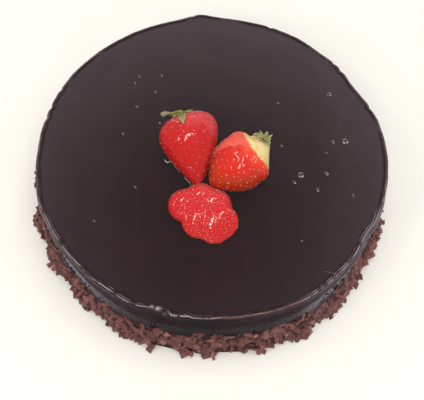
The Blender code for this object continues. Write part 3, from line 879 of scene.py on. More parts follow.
def lobed_gap(points):
    """How far points are outside the lobed berry, negative inside: a smooth union of its
    lobes and its core, ended softly by a sloping top that swells in each lobe: it falls from
    each swelling's middle as a hyperbola, and narrow valleys part the swellings."""
    balls = [(x, y, lift * radius, radius) for x, y, radius, lift in LOBES]
    total = 0.0
    for x, y, height, radius in [*balls, LOBED_CORE]:
        middle = np.array([x, y, CAKE_HEIGHT + height])
        gap = np.linalg.norm(points - middle, axis=-1) - radius
        total = total + np.exp(-gap / LOBED_BLEND)
    lobes = -LOBED_BLEND * np.log(total)
    slope = math.radians(TOP_SLOPE)
    ahead = points[..., 1] - TOP_FOOT[0]
    height = points[..., 2] - CAKE_HEIGHT - TOP_FOOT[1]
    over = height * math.cos(slope) - ahead * math.sin(slope)
    along = ahead * math.cos(slope) + height * math.sin(slope)
    falls = []
    for x, y, radius in TOP_SWELLINGS:
        down = along - (y - TOP_FOOT[0]) / math.cos(slope)
        away = np.hypot(points[..., 0] - x, SWELLING_STRETCH * down)
        steep = SWELLING_SLOPE * radius
        falls.append(SWELLING_SLOPE * steep * (np.sqrt(1.0 + (away / steep) ** 2) - 1.0))
    least = np.min(falls, axis=0)
    top = over + least - VALLEY * np.log(sum(np.exp((least - fall) / VALLEY) for fall in falls))
    return np.maximum(lobes, top) + TOP_EDGE * np.log1p(np.exp(-np.abs(lobes - top) / TOP_EDGE))


def glazed_cake():
    """The glaze over the cake: rows out from the middle of the top, over the rounded rim, down
    the swelling wall, under the flakes and back to the middle of the base. Each row is the
    outline at its bearing, moved in or out and up by the row's profile; small unevenness is
    added as sine sums of the bearing."""
    bearing = np.arange(GLAZE_COLUMNS) * 360.0 / GLAZE_COLUMNS
    angle = np.radians(bearing)
    east = np.cos(angle)
    north = np.sin(angle)
    rim = rim_radius(bearing) + 0.00022 * soft_noise(13, 26.0 * east, 26.0 * north)
    for place, depth in NICKS:
        rim = rim - depth * bell(apart(bearing, place) / NICK_WIDTH)
    # The flat top, then the last millimetres with a faint lip, then a quarter round.
    inner = np.linspace(0.012, 0.945, 44)[:, None] * rim
    close = rim - EDGE_ROUND + np.arange(-0.0048, 0.0001, 0.0003)[:, None]
    radius = np.concatenate([inner, close])
    lip = 0.00016 + 0.00016 * soft_noise(12, 22.0 * east, 22.0 * north)
    swell = 0.00007 * soft_noise(5, radius * east * 45.0, radius * north * 45.0, levels=3)
    swell = swell * (1.0 - smooth_step(0.098, 0.114, radius))
    travel = radius - rim + EDGE_ROUND
    rise = swell + lip * bell((travel + 0.0006) / 0.0010)
    rise = rise + 0.0005 * edge_drops(bearing, travel)
    quarter = np.radians(np.arange(1, 15) * 90.0 / 14.0)[:, None]
    over = rim - EDGE_ROUND * (1.0 - np.sin(quarter))
    drop = -EDGE_ROUND * (1.0 - np.cos(quarter)) + 0.7 * lip * np.cos(quarter)
    height = np.concatenate([rise, np.broadcast_to(drop, over.shape)]) + CAKE_HEIGHT
    radius = np.concatenate([radius, over])
    travel = np.concatenate([travel, np.broadcast_to(EDGE_ROUND * quarter, over.shape)])
    # The wall and the bank under the flakes.
    upper = np.linspace(CAKE_HEIGHT - EDGE_ROUND - 0.0009, SKIRT_HEIGHT, 36)
    lower = np.linspace(SKIRT_HEIGHT - 0.0020, 0.0, 11)
    steps = np.concatenate([upper, lower])[:, None]
    down = np.clip((SKIRT_HEIGHT - steps) / SKIRT_HEIGHT, 0.0, 1.0)
    wall = rim + wall_swell(bearing, steps) + (SKIRT_SPREAD - 0.0012) * (1.0 - (1.0 - down) ** 1.6)
    base = wall[-1] * np.array([[0.66], [0.33]])
    radius = np.concatenate([radius, wall, base])
    height = np.concatenate([height, np.broadcast_to(steps, wall.shape), np.zeros(base.shape)])
    travel = np.concatenate([travel, np.full((len(wall) + 2, GLAZE_COLUMNS), 1.0)])
    grid = np.stack([radius * east, radius * north, height], axis=-1)
    # Marks for the material: the pale line of painted highlight along the edge, thin glaze, and the bank
    # under the flakes.
    places, clear, thinness = np.array(EDGE_LOOK).T
    clear = np.interp(bearing, places, clear, period=360.0)
    thinness = np.interp(bearing, places, thinness, period=360.0)
    wander = soft_noise(14, 34.0 * east, 34.0 * north)
    gaps = smooth_step(-0.9, 0.0, soft_noise(15, 60.0 * east, 60.0 * north))
    path = 0.001 * np.interp(bearing, *np.array(EDGE_PATH).T, period=360.0)
    # The pale line is a painted highlight of the rounded edge; a second, thinner one runs beside it where the
    # line is clearest.
    line = clear * gaps * bell((travel - path - 0.00035 * wander) / 0.00024)
    broken = smooth_step(-0.3, 0.5, soft_noise(16, 12.0 * east, 12.0 * north))
    doubled = np.clip(clear - 0.7, 0.0, 0.25) * 3.0 * broken
    second = doubled * gaps * bell((travel + 0.0012 - 0.0007 * wander) / 0.00018)
    second = second * smooth_step(0.0009, 0.0014, np.abs(path + 0.0012))
    line = np.maximum(np.maximum(line, second), edge_drops(bearing, travel))
    thin = thinness * bell((travel - 0.0012) / 0.0009)
    edge = SKIRT_HEIGHT - 0.0012 + 0.0010 * soft_noise(23, 16.0 * east, 16.0 * north)
    skirt = (1.0 - smooth_step(edge - 0.0004, edge + 0.0004, height)) * (travel > 0.5)
    poles = np.array([[0.0, 0.0, CAKE_HEIGHT], [0.0, 0.0, 0.0]])
    points = np.concatenate([grid.reshape(-1, 3), poles])
    values = {
        "line": np.append(line, [0.0, 0.0]),
        "thin": np.append(thin, [0.0, 0.0]),
        "skirt": np.append(skirt, [0.0, 1.0]),
    }
    quads, fans = outward_faces(len(grid), GLAZE_COLUMNS)
    return put_mesh("glazed_cake", points, quads, fans, glaze_material(), values=values)


def edge_drops(bearing, travel):
    """The share of a drop of glaze at places round the rim and across its edge: a bell round
    each drop's middle. It raises the glaze there and paints the drop's pale highlight."""
    share = 0.0
    for place, across, size, strength in EDGE_DROPS:
        along = np.radians(apart(bearing, place)) * CAKE_RADIUS
        far = np.hypot(along, travel - 0.001 * across) / (0.001 * size)
        share = np.maximum(share, strength * bell(far))
    return share


def wall_swell(bearing, height):
    """How far the wall stands out: slow swells round it, the soft ridge that wanders along
    it, the hollow under the rim and the drip that runs down the front."""
    angle = np.radians(bearing)
    east = np.cos(angle)
    north = np.sin(angle)
    places, middles, sizes = np.array(RIDGE).T
    middle = np.interp(bearing, places, middles, period=360.0)
    middle = middle + 0.0006 * soft_noise(33, 9.0 * east, 9.0 * north)
    size = np.interp(bearing, places, sizes, period=360.0)
    size = size * (1.0 + 0.30 * soft_noise(34, 8.0 * east, 8.0 * north))
    ridge = size * bell((height - middle) / 0.0040)
    slow = 0.0004 * soft_noise(31, 6.0 * east, 6.0 * north, height * 40.0, levels=2)
    drip = 0.0015 * bell(apart(bearing, 254.0) / 2.4) * bell((height - 0.0425) / 0.0065)
    ease = smooth_step(0.0, 0.0045, CAKE_HEIGHT - EDGE_ROUND - height)
    return (ridge + slow + drip) * ease


def glaze_bubbles():
    """Burst bubbles in the glaze: for each a ring whose height waves round it, with a small
    mound inside; rows of one profile turned round the bubble's middle. Each ring is painted
    pale along its far side and palest in one or two specks on its near side, painted highlights
    where it catches the light."""
    places = np.array(BUBBLES)
    draw = np.random.default_rng(51)
    # The profile from outside in: how far out and how high, as shares of a bubble's radius.
    out = np.array([1.25, 1.20, 1.08, 0.98, 0.86, 0.74, 0.56, 0.36, 0.16])
    up = np.array([-0.30, 0.02, 0.13, 0.26, 0.24, 0.08, 0.05, 0.15, 0.20])
    columns = 18
    turn = full_turn(columns)
    waves = draw.uniform(0.0, 6.3, (len(places), 2, 1))
    lumps = 1.0 + 0.45 * np.sin(3.0 * turn + waves[:, 0]) + 0.35 * np.sin(5.0 * turn + waves[:, 1])
    size = places[:, 2, None, None]
    ring = size * out[None, :, None] * (1.0 + 0.06 * (lumps[:, None] - 1.0))
    height = size * np.where(up > 0.0, up, 0.0)[None, :, None] * np.clip(lumps[:, None], 0.25, None)
    height = np.where(up[None, :, None] < 0.0, -0.0003, height + 0.00003)
    x = places[:, 0, None, None] + ring * np.cos(turn)
    y = places[:, 1, None, None] + ring * np.sin(turn)
    grid = np.stack([x, y, CAKE_HEIGHT + height], axis=-1).reshape(len(places), -1, 3)
    poles = np.repeat(places[:, None, :], 2, axis=1)
    poles[:, 0, 2] = CAKE_HEIGHT - 0.0003
    poles[:, 1, 2] = CAKE_HEIGHT + 0.20 * places[:, 2]
    points = np.concatenate([grid, poles], axis=1)
    quads = repeated(closed_quads(len(out), columns), len(places), points.shape[1])
    fans = repeated(pole_fans(len(out), columns), len(places), points.shape[1])
    # Painted highlights: pale rows of the ring, strongest along its far side and in specks on its near side.
    pale = np.array([0.0, 0.0, 0.10, 0.42, 0.40, 0.14, 0.04, 0.05, 0.05])[None, :, None]
    large = np.clip((places[:, 2, None] - 0.0013) / 0.0005, 0.0, 1.0)
    painted_glint = 0.10
    for middle, width, strength in ((1.70, 1.0, 0.62), (-0.80, 0.36, 3.2), (-2.20, 0.30, 3.0 * large)):
        shift = draw.normal(0.0, 0.12, (len(places), 1))
        away = (turn + shift - middle + math.pi) % (2.0 * math.pi) - math.pi
        painted_glint = painted_glint + strength * bell(away / width)
    patchy = draw.uniform(0.7, 1.2, (len(places), len(out), columns))
    tone = (pale * painted_glint[:, None, :] * patchy).reshape(len(places), -1)
    values = {"tone": np.concatenate([tone, np.full((len(places), 2), 0.02)], axis=1)}
    material = gel_material("clear_gel_painted_glints", (0.020, 0.012, 0.013), (0.92, 0.87, 0.88))
    return put_mesh("glaze_bubbles", points, quads, fans, material, values=values)


def tubes(paths, ups, girths, columns):
    """Tubes along paths, each a row of points with the skin's normal there: at each point a
    ring a little flatter than a circle, and a pole beyond each end."""
    ahead = unit(np.gradient(paths, axis=1))
    side = unit(np.cross(ups, ahead))
    turn = full_turn(columns)[:, None]
    across = np.cos(turn) * side[:, :, None] + 0.6 * np.sin(turn) * ups[:, :, None]
    rings = paths[:, :, None] + girths[..., None, None] * across
    first = paths[:, 0] - ahead[:, 0] * girths[:, :1] * 0.6
    last = paths[:, -1] + ahead[:, -1] * girths[:, -1:] * 0.6
    count, rows = girths.shape
    points = np.concatenate([rings.reshape(count, -1, 3), first[:, None], last[:, None]], axis=1)
    quads = repeated(closed_quads(rows, columns), count, points.shape[1])
    fans = repeated(pole_fans(rows, columns), count, points.shape[1])
    return points.reshape(-1, 3), quads, fans


def wavy_line(corners, rows, seed):
    """Points evenly along a broken line, the girth there as a share, thinner to both ends,
    and a slow wave to move the points by."""
    corners = np.array(corners)
    share = np.linspace(0.0, 1.0, rows)
    spots = np.linspace(0.0, 1.0, len(corners))
    path = np.stack([np.interp(share, spots, corners[:, axis]) for axis in (0, 1)], axis=1)
    uneven = 1.0 + 0.30 * soft_noise(seed + 60, share * 16.0)
    girth = (0.30 + 0.70 * np.sin(np.pi * share) ** 0.6) * uneven
    return path, girth, soft_noise(seed, share * 9.0)


def gel_glint_threads():
    """Threads of gel on the glaze, their pale tone a painted highlight: a flat tube along each wavy line,
    thinner to both ends.
    """
    rows = 14
    paths = []
    girths = []
    for number, (white, thickness, corners) in enumerate(GEL_THREADS):
        path, girth, wave = wavy_line(corners, rows, number + 3)
        path = path + 0.00012 * np.stack([wave, -wave], axis=1)
        height = np.full((rows, 1), CAKE_HEIGHT + GEL_RISE)
        paths.append(np.concatenate([path, height], axis=1))
        girths.append(thickness * girth)
    paths = np.array(paths)
    ups = np.broadcast_to(np.array([0.0, 0.0, 1.0]), paths.shape)
    points, quads, fans = tubes(paths, ups, np.array(girths), 8)
    tones = np.repeat([white for white, thickness, corners in GEL_THREADS], rows * 8 + 2)
    material = bpy.data.materials["clear_gel_painted_glints"]
    return put_mesh("gel_glint_threads", points, quads, fans, material, values={"tone": tones})


# ================================ flakes ================================


def turned(angle, axis):
    """Rotation matrices for an array of angles about one axis: 0, 1 or 2."""
    cosine = np.cos(angle)
    sine = np.sin(angle)
    one, two = [(1, 2), (2, 0), (0, 1)][axis]
    matrix = np.zeros((len(angle), 3, 3))
    matrix[:, axis, axis] = 1.0
    matrix[:, one, one] = cosine
    matrix[:, two, two] = cosine
    matrix[:, one, two] = -sine
    matrix[:, two, one] = sine
    return matrix


def skirt_places(draw, count, loose):
    """Middles and outward frames of things that lie in the skirt: spread evenly round by the
    golden turn with a random shift, lower places likelier, outwards of the bank by up to the
    loose share of the reach at their bearing."""
    turns = np.arange(count) * math.degrees(GOLDEN_TURN)
    bearing = (turns + draw.normal(0.0, 1.0, count)) % 360.0
    angle = np.radians(bearing)
    east = np.cos(angle)
    north = np.sin(angle)
    crest = 0.96 + 0.09 * np.cos(angle - math.radians(240.0))
    crest = crest + 0.06 * soft_noise(41, 13.0 * east, 13.0 * north)
    share = draw.beta(1.0, 1.12, count)
    height = 0.0006 + (SKIRT_HEIGHT - 0.0012) * crest * share
    reach = np.full(count, SKIRT_REACH)
    for middle, width, out in SKIRT_CLUMPS:
        reach = reach + out * bell(apart(bearing, middle) / width)
    foot = (1.0 - share**1.5) * (reach - 0.0002)
    out = foot * (1.0 - 0.55 * (1.0 - loose) * draw.random(count))
    out = out + 0.0002 + 0.0009 * loose * draw.random(count)
    radius = rim_radius(bearing) + out
    middle = np.stack([radius * east, radius * north, height], axis=1)
    slope = 0.12 + 0.55 * (1.0 - share)
    outward = np.stack([east * np.cos(slope), north * np.cos(slope), np.sin(slope)], axis=1)
    sideways = np.stack([-north, east, np.zeros(count)], axis=1)
    upward = np.cross(outward, sideways)
    return middle, np.stack([sideways, upward, outward], axis=1)


def chocolate_flakes():
    """Shavings of milk chocolate, all in one piece. Each is a strip of five cross-sections of
    four points: its middle line is an arc (the curl), its sections turn along it (the twist),
    its width tapers and its broken edges are shifted at random."""
    draw = np.random.default_rng(77)
    count = FLAKE_COUNT
    sections = 5
    size = sections * 4
    length = 0.0042 + 0.0068 * draw.beta(1.6, 2.4, count)
    width = np.clip(length * draw.uniform(0.34, 0.62, count), 0.0023, 0.0046)
    thickness = draw.uniform(0.0010, 0.0020, count)
    curl = draw.normal(0.0, 0.40, count)[:, None]
    twist = draw.normal(0.0, 0.18, count)[:, None]
    along = np.linspace(-0.5, 0.5, sections)[None, :]
    bend = curl * along
    straight = np.abs(curl) < 1e-3
    arc = np.where(straight, 1.0, curl)
    mid_x = length[:, None] * np.where(straight, along, np.sin(bend) / arc)
    mid_z = -length[:, None] * np.where(straight, 0.0, (1.0 - np.cos(bend)) / arc)
    narrowing = draw.uniform(0.0, 0.40, count)[:, None]
    widest = draw.uniform(-0.4, 0.4, count)[:, None]
    taper = 1.0 - narrowing * np.abs(along - widest) * 1.6
    ragged = draw.uniform(0.86, 1.08, (count, sections, 2))
    half = 0.5 * width[:, None] * taper
    turn = twist * along * 2.0
    side = np.stack([np.zeros(turn.shape), np.cos(turn), np.sin(turn)], axis=-1)
    lift = np.stack([np.sin(bend), -np.sin(turn) * np.cos(bend), np.cos(turn) * np.cos(bend)], axis=-1)
    middle = np.stack([mid_x, np.zeros(mid_x.shape), mid_z], axis=-1)
    thick = 0.5 * thickness[:, None, None] * draw.uniform(0.75, 1.15, (count, sections, 1))
    left = middle - side * (half * ragged[..., 0])[..., None]
    right = middle + side * (half * ragged[..., 1])[..., None]
    rise = lift * thick
    shape = np.stack([left - rise, right - rise, right + rise, left + rise], axis=2)
    slant = draw.normal(0.0, 0.32, (count, 2))
    shape[:, 0, :, 0] += slant[:, :1] * shape[:, 0, :, 1]
    shape[:, -1, :, 0] += slant[:, 1:] * shape[:, -1, :, 1]
    place, frames = skirt_places(draw, count, 1.0)
    lean = np.where(draw.random(count) < 0.20, 0.90, 0.40)
    pose = turned(draw.normal(0.0, 1.0, count) * lean, 1)
    pose = pose @ turned(draw.normal(0.0, 1.0, count) * lean, 0)
    pose = pose @ turned(draw.uniform(0.0, math.pi, count), 2)
    shape = np.einsum("fij,fsqj->fsqi", pose, shape)
    shape = np.einsum("fsqi,fij->fsqj", shape, frames) + place[:, None, None, :]
    low = shape[..., 2].min(axis=(1, 2))
    shape[..., 2] += np.maximum(0.0002 - low, 0.0)[:, None, None]
    ends = np.array([[3, 2, 1, 0], [size - 4, size - 3, size - 2, size - 1]])
    quads = repeated(closed_quads(sections, 4), count, size)
    faces = np.concatenate([quads, repeated(ends, count, size)])
    values = {"tone": np.repeat(np.clip(draw.normal(0.50, 0.19, count), 0.0, 1.0), size)}
    material = flake_material()
    return put_mesh("chocolate_flakes", shape, faces, None, material, False, values)


def chocolate_crumbs():
    """Broken bits between the shavings: irregular six-cornered grains, each an octahedron
    whose corners are stretched at random."""
    draw = np.random.default_rng(78)
    count = CRUMB_COUNT
    corners = np.array([[1, 0, 0], [-1, 0, 0], [0, 1, 0], [0, -1, 0], [0, 0, 1], [0, 0, -1]], float)
    size = draw.uniform(0.0006, 0.0015, count)[:, None, None]
    uneven = draw.uniform(0.5, 1.3, (count, 6, 1))
    stretch = draw.uniform(0.5, 1.2, (count, 1, 3))
    shape = corners[None] * size * uneven * stretch
    shape += draw.normal(0.0, 0.12, (count, 6, 3)) * size
    pose = turned(draw.uniform(0.0, 6.3, count), 2)
    pose = pose @ turned(draw.uniform(0.0, 6.3, count), 0)
    place = skirt_places(draw, count, 0.3)[0]
    shape = np.einsum("fij,fqj->fqi", pose, shape) + place[:, None, :]
    low = shape[..., 2].min(axis=1)
    shape[..., 2] += np.maximum(0.0001 - low, 0.0)[:, None]
    sides = np.array([[0, 2, 4], [2, 1, 4], [1, 3, 4], [3, 0, 4], [2, 0, 5], [1, 2, 5], [3, 1, 5], [0, 3, 5]])
    faces = repeated(sides, count, 6)
    values = {"tone": np.repeat(np.clip(draw.normal(0.45, 0.2, count), 0.0, 1.0), 6)}
    material = bpy.data.materials["milk_chocolate_shaving"]
    return put_mesh("chocolate_crumbs", shape, None, faces, material, False, values)


# ================================ strawberries ================================


def seed_places(berry, count, start_share, end_share):
    """Where the seeds sit on a berry: along the golden spiral, evenly by skin area, with a
    little scatter, and none where the berry mirrors the long lamp. Gives distances along the
    axis and turns round it."""
    along = berry_stations(berry, 400)[0]
    radius = berry_profile(berry, along)
    slope = np.gradient(radius, along)
    slant = np.sqrt(1.0 + np.clip(slope, -6.0, 6.0) ** 2)
    area = np.cumsum(radius * slant * np.gradient(along))
    area /= area[-1]
    draw = np.random.default_rng(int(berry["length"] * 1e5))
    share = start_share + (end_share - start_share) * (np.arange(count) + 0.5) / count
    share = np.clip(share + draw.normal(0.0, 0.004, count), 0.0, 1.0)
    turn = np.arange(count) * GOLDEN_TURN + draw.normal(0.0, 0.05, count)
    place = np.interp(share, area, along)
    spot, bearing = berry["lamp"]
    about_radius = 0.018
    lamp_room = 0.0026
    aside = np.radians(apart(np.degrees(turn), bearing)) * about_radius
    clear = np.hypot(place - spot, aside) > lamp_room
    return place[clear], turn[clear] % (2.0 * math.pi)


def pit_depth(points, seeds, radius, depth):
    """How far the skin sinks round each seed, and how near the nearest seed is: a bell of the
    distance to it, with a low swelling round the bell."""
    flat = points.reshape(-1, 3)
    nearest = np.full(len(flat), 1.0)
    for block in np.array_split(np.arange(len(seeds)), 12):
        distance = np.linalg.norm(flat[:, None, :] - seeds[None, block, :], axis=-1).min(axis=1)
        nearest = np.minimum(nearest, distance)
    nearest = nearest.reshape(points.shape[:-1])
    near = bell(nearest / radius)
    swell = bell((nearest - 1.9 * radius) / (0.9 * radius))
    return depth * near - 0.22 * depth * swell, near


def seed_shapes(places, normals, ahead, size, seed):
    """Seeds as drops: an ellipsoid of three rings of six points and two ends for each, long
    towards the tip, set into the skin along its normal."""
    draw = np.random.default_rng(seed)
    count = len(places)
    across = unit(np.cross(normals, ahead))
    ahead = np.cross(across, normals)
    ring = full_turn(6)
    lengthwise = np.array([-0.62, 0.0, 0.66])[:, None]
    girth = np.array([0.80, 1.0, 0.62])[:, None]
    sideways = girth * np.cos(ring) * 0.62
    upward = girth * np.sin(ring) * 0.42
    local = np.stack(np.broadcast_arrays(lengthwise, sideways, upward), axis=-1).reshape(-1, 3)
    local = np.concatenate([local, [[-1.0, 0.0, 0.0], [1.0, 0.0, 0.0]]])
    scale = size * draw.uniform(0.82, 1.18, count)
    basis = np.stack([ahead, across, normals], axis=1)
    points = np.einsum("qi,fij->fqj", local, basis) * scale[:, None, None] + places[:, None, :]
    quads = repeated(closed_quads(3, 6), count, len(local))
    fans = repeated(pole_fans(3, 6), count, len(local))
    tone = np.repeat(draw.uniform(0.0, 1.0, count), len(local))
    return points, quads, fans, tone


def skin_frames(berry, along, turn):
    """Points on a laid-down berry's smooth skin, with the outward normal and the direction to
    the tip at each, from small steps over the skin."""
    rest = berry_rest(berry)
    here = lay_down(berry, berry_local(berry, along, turn), rest)
    ahead = unit(lay_down(berry, berry_local(berry, along + 0.0002, turn), rest) - here)
    beside = lay_down(berry, berry_local(berry, along, turn + 0.02), rest)
    normals = unit(np.cross(ahead, beside - here))
    middle = lay_down(berry, np.zeros((1, 3)), rest)[0]
    outward = (normals * (here - middle)).sum(axis=-1, keepdims=True)
    return here, normals * np.sign(outward), ahead


def berry_flesh(name, berry, node, material, seeds, marks):
    """A berry's flesh: the laid-down profile surface, sunk at each seed. The marks function
    gives how ripe and how coated each place is."""
    rows = 170
    columns = 240
    rest = berry_rest(berry)
    along, start, end = berry_stations(berry, rows)
    local = berry_local(berry, along[:, None], full_turn(columns)[None, :])
    grid = lay_down(berry, local, rest)
    normal = grid_normals(grid, lay_down(berry, np.zeros((1, 3)), rest)[0])
    sunk, pit = pit_depth(grid, seeds, radius=0.00060, depth=0.00016)
    lumpy = 0.00005 * soft_noise(61, *np.moveaxis(grid * 330.0, -1, 0), levels=2)
    ripe, coated, ridge, below = marks(local)
    grid = grid + normal * (lumpy - sunk + ridge * 0.00012)[..., None]
    ends = lay_down(berry, np.array([[0.0, start, 0.0], [0.0, end, 0.0]]), rest)
    points = np.concatenate([grid.reshape(-1, 3), ends])
    values = {"pit": np.append(pit, [0.0, 0.0])}
    for label, share in (("ripe", ripe), ("coated", coated), ("below", below)):
        values[label] = np.append(share, [share[0].mean(), share[-1].mean()])
    quads, fans = outward_faces(rows, columns)
    unmirrored(put_mesh(name + "_flesh", points, quads, fans, material, values=values), node)


def gel_glint_lines(name, berry, lines, node):
    """Threads of gel on a berry's skin, pale as painted highlights: a flat tube along each line
    of distances along the axis and turns round it."""
    rows = 14
    paths = []
    ups = []
    girths = []
    for number, (white, thickness, corners) in enumerate(lines):
        path, girth, wave = wavy_line(corners, rows, number + 11)
        along = path[:, 0] + 0.00010 * wave
        turn = np.radians(path[:, 1] + 0.4 * wave)
        places, normals, ahead = skin_frames(berry, along, turn)
        paths.append(places + normals * GEL_RISE)
        ups.append(normals)
        girths.append(thickness * girth)
    points, quads, fans = tubes(np.array(paths), np.array(ups), np.array(girths), 7)
    values = {"tone": np.repeat([white for white, thickness, corners in lines], rows * 7 + 2)}
    material = bpy.data.materials["rosy_gel_painted_glints"]
    unmirrored(put_mesh(name, points, quads, fans, material, values=values), node)


def gel_glint_curls(name, places, normals, sizes, seed, node):
    """Small pale curls of gel, painted highlights for the glints of light by the seeds and on
    the skin: at each place a short arc of about this size round the place's upper side."""
    draw = np.random.default_rng(seed)
    count = len(places)
    up = np.array([-0.25, 0.75, 0.60])
    over = unit(up - normals * (normals @ up)[:, None])
    aside = np.cross(normals, over)
    rows = 6
    span = draw.uniform(0.9, 2.6, (count, 1))
    angle = draw.normal(0.0, 0.9, (count, 1)) + span * np.linspace(-0.5, 0.5, rows)
    radius = (sizes * draw.uniform(0.7, 1.3, count))[:, None, None]
    bend = np.cos(angle)[..., None] * over[:, None] + np.sin(angle)[..., None] * aside[:, None]
    paths = places[:, None] + radius * bend
    patches = np.clip(0.66 + 0.50 * soft_noise(seed, *(places * 190.0).T, levels=2), 0.20, 1.0)
    thickness = draw.uniform(0.00010, 0.00016, count) * (0.55 + 0.45 * patches)
    girths = thickness[:, None] * (0.45 + 0.55 * np.cos(np.linspace(-1.3, 1.3, rows)))
    points, quads, fans = tubes(paths, np.broadcast_to(normals[:, None], paths.shape), girths, 5)
    values = {"tone": np.repeat(patches * draw.beta(1.8, 1.5, count), rows * 5 + 2)}
    material = bpy.data.materials["rosy_gel_painted_glints"]
    unmirrored(put_mesh(name, points, quads, fans, material, values=values), node)


def put_seeds(name, places, normals, ahead, material, node, seed, size):
    """The seeds of one berry as one piece, each a little below the skin."""
    sink = 0.00012
    points, quads, fans, tone = seed_shapes(places - normals * sink, normals, ahead, size, seed)
    values = {"tone": tone}
    unmirrored(put_mesh(name, points, quads, fans, material, values=values), node)


def dress_berry(name, berry, node, flesh, seed_look, count, start_share, size, curls, marks):
    """One berry: its seeds, its flesh sunk round them, pale curls of gel painted in as glints by
    some of the seeds and smaller ones between them. Curls is a seed number and the counts of both."""
    places, normals, ahead = skin_frames(berry, *seed_places(berry, count, start_share, 0.995))
    berry_flesh(name, berry, node, flesh, places, marks)
    seed, large, small = curls
    put_seeds(name + "_seeds", places, normals, ahead, seed_look, node, seed, size)
    along, turn = seed_places(berry, small, start_share, 0.995)
    draw = np.random.default_rng(seed)
    along = along + draw.normal(0.0, 0.0008, len(along))
    turn = turn + draw.normal(0.0, 0.08, len(turn))
    spots, outward, ahead = skin_frames(berry, along, turn)
    chosen = draw.permutation(len(places))[:large]
    sizes = np.repeat([LARGE_CURL, SMALL_CURL], [large, len(spots)])
    spots = np.concatenate([places[chosen], spots])
    outward = np.concatenate([normals[chosen], outward])
    gel_glint_curls(name + "_curls", spots, outward, sizes, seed, node)


def left_marks(local):
    """How red, how coated and how raised at the coat's edge the left berry is: a cream rim by
    the leaves, then red; bare and frosted over the right shoulder, beyond a curved edge."""
    x, y, z = (local[..., axis] * 1000.0 for axis in range(3))
    wave = 0.5 * np.sin(0.9 * x + 0.4) + 0.3 * np.sin(2.1 * x)
    ripe = 0.15 + 0.50 * smooth_step(-20.8, -17.6, y + 0.8 * wave)
    ripe = ripe + 0.35 * smooth_step(-17.0, -4.0, y)
    frost_edge = -11.0 + 10.5 * (np.clip(-3.0 - x, 0.0, None) / 11.5) ** 2
    right_edge = -14.0 - 0.35 * np.clip(x - 5.0, 0.0, None)
    edge = np.where(x > 3.5, right_edge, frost_edge) + wave
    coated = smooth_step(-3.6, 1.2, y - edge + 0.8 * soft_noise(63, x * 0.8, y * 0.8, levels=3))
    ridge = bell((y - edge) / 0.55) * (x > 1.0)
    low = smooth_step(3.0, -6.0, z)
    return ripe, coated, ridge, low


def right_marks(local):
    """How red, how coated and how raised at the coat's edge the right berry is: cream round
    the leaves with a golden patch, bare pink on the upper shoulder above the coat's curved
    edge, brownish orange low down."""
    x, y, z = (local[..., axis] * 1000.0 for axis in range(3))
    wave = 0.45 * np.sin(0.8 * x + 1.0) + 0.25 * np.sin(1.9 * z + x)
    past = y + 10.8 + 0.014 * (x + 6.0) ** 2 + 0.6 * wave
    ripe = 0.10 + 0.72 * smooth_step(-1.0, 1.6, past) + 0.18 * smooth_step(2.0, 9.0, past)
    turn = np.degrees(np.arctan2(z, x))
    ripe = ripe + 0.10 * bell((turn - 58.0) / 20.0) * smooth_step(-13.5, -16.0, y)
    arc = y + 10.6 - 0.068 * np.clip(x + 5.0, 0.0, None) ** 2 + 0.5 * wave
    coated = smooth_step(-1.1, 0.7, arc + 0.4 * soft_noise(64, x * 0.9, z * 0.9, levels=3))
    ridge = bell(arc / 0.7) * smooth_step(-9.0, -5.0, x) * (z > 0.0)
    low = smooth_step(13.5, 7.0, z) * smooth_step(3.0, 13.0, past)
    return ripe, coated, ridge, low


def lobed_normals(points):
    """Outward normals of the lobed berry at points on its skin: the slope of its gap."""
    step = 0.0002
    slopes = [lobed_gap(points + step * axis) - lobed_gap(points - step * axis) for axis in np.eye(3)]
    return unit(np.stack(slopes, axis=1))


def lobed_skin(middle, pitches, turns):
    """Where rays from a middle point inside the lobed berry leave its skin."""
    level = np.cos(pitches)
    rays = np.stack([level * np.cos(turns), level * np.sin(turns), np.sin(pitches)], axis=-1)
    reach = cast_to_skin(lobed_gap, middle, rays, 0.034)
    return middle + rays * reach[..., None]


def lobed_spots(middle):
    """Places on the lobed berry's skin, their normals, and which of them get a seed and which
    a pale curl of gel painted in as a glint: random directions, likelier where the skin is
    larger, kept if no earlier one is near, and off the places that mirror the lamps."""
    tries = 7000
    kept = 1300
    lamp_room = 0.0021
    seed_room = 0.0018
    curl_room = 0.0009
    draw = np.random.default_rng(91)
    lifts = np.arcsin(draw.uniform(-0.55, 1.0, tries))
    turns = draw.uniform(0.0, 2.0 * math.pi, tries)
    spots = lobed_skin(middle, lifts, turns)
    normals = lobed_normals(spots)
    rays = spots - middle
    reach = np.linalg.norm(rays, axis=1)
    weight = reach**2 / np.clip((normals * rays).sum(axis=1) / reach, 0.2, 1.0)
    weight *= spots[:, 2] > CAKE_HEIGHT + 0.0008
    chosen = draw.choice(tries, kept, replace=False, p=weight / weight.sum())
    spots = spots[chosen]
    normals = normals[chosen]
    # A metre is added to a place's distance to itself and to later ones, so they never count.
    later = np.triu(np.ones((kept, kept)))
    nearest = (np.linalg.norm(spots[:, None] - spots[None], axis=-1) + later).min(axis=1)
    lamps = np.array(LAMP_SPOTS)
    clear = np.linalg.norm(spots[:, None, :2] - lamps[None], axis=-1).min(axis=1) > lamp_room
    seeded = (nearest > seed_room) & clear
    curled = (nearest > curl_room) & clear & ~seeded
    return spots, normals, seeded, curled


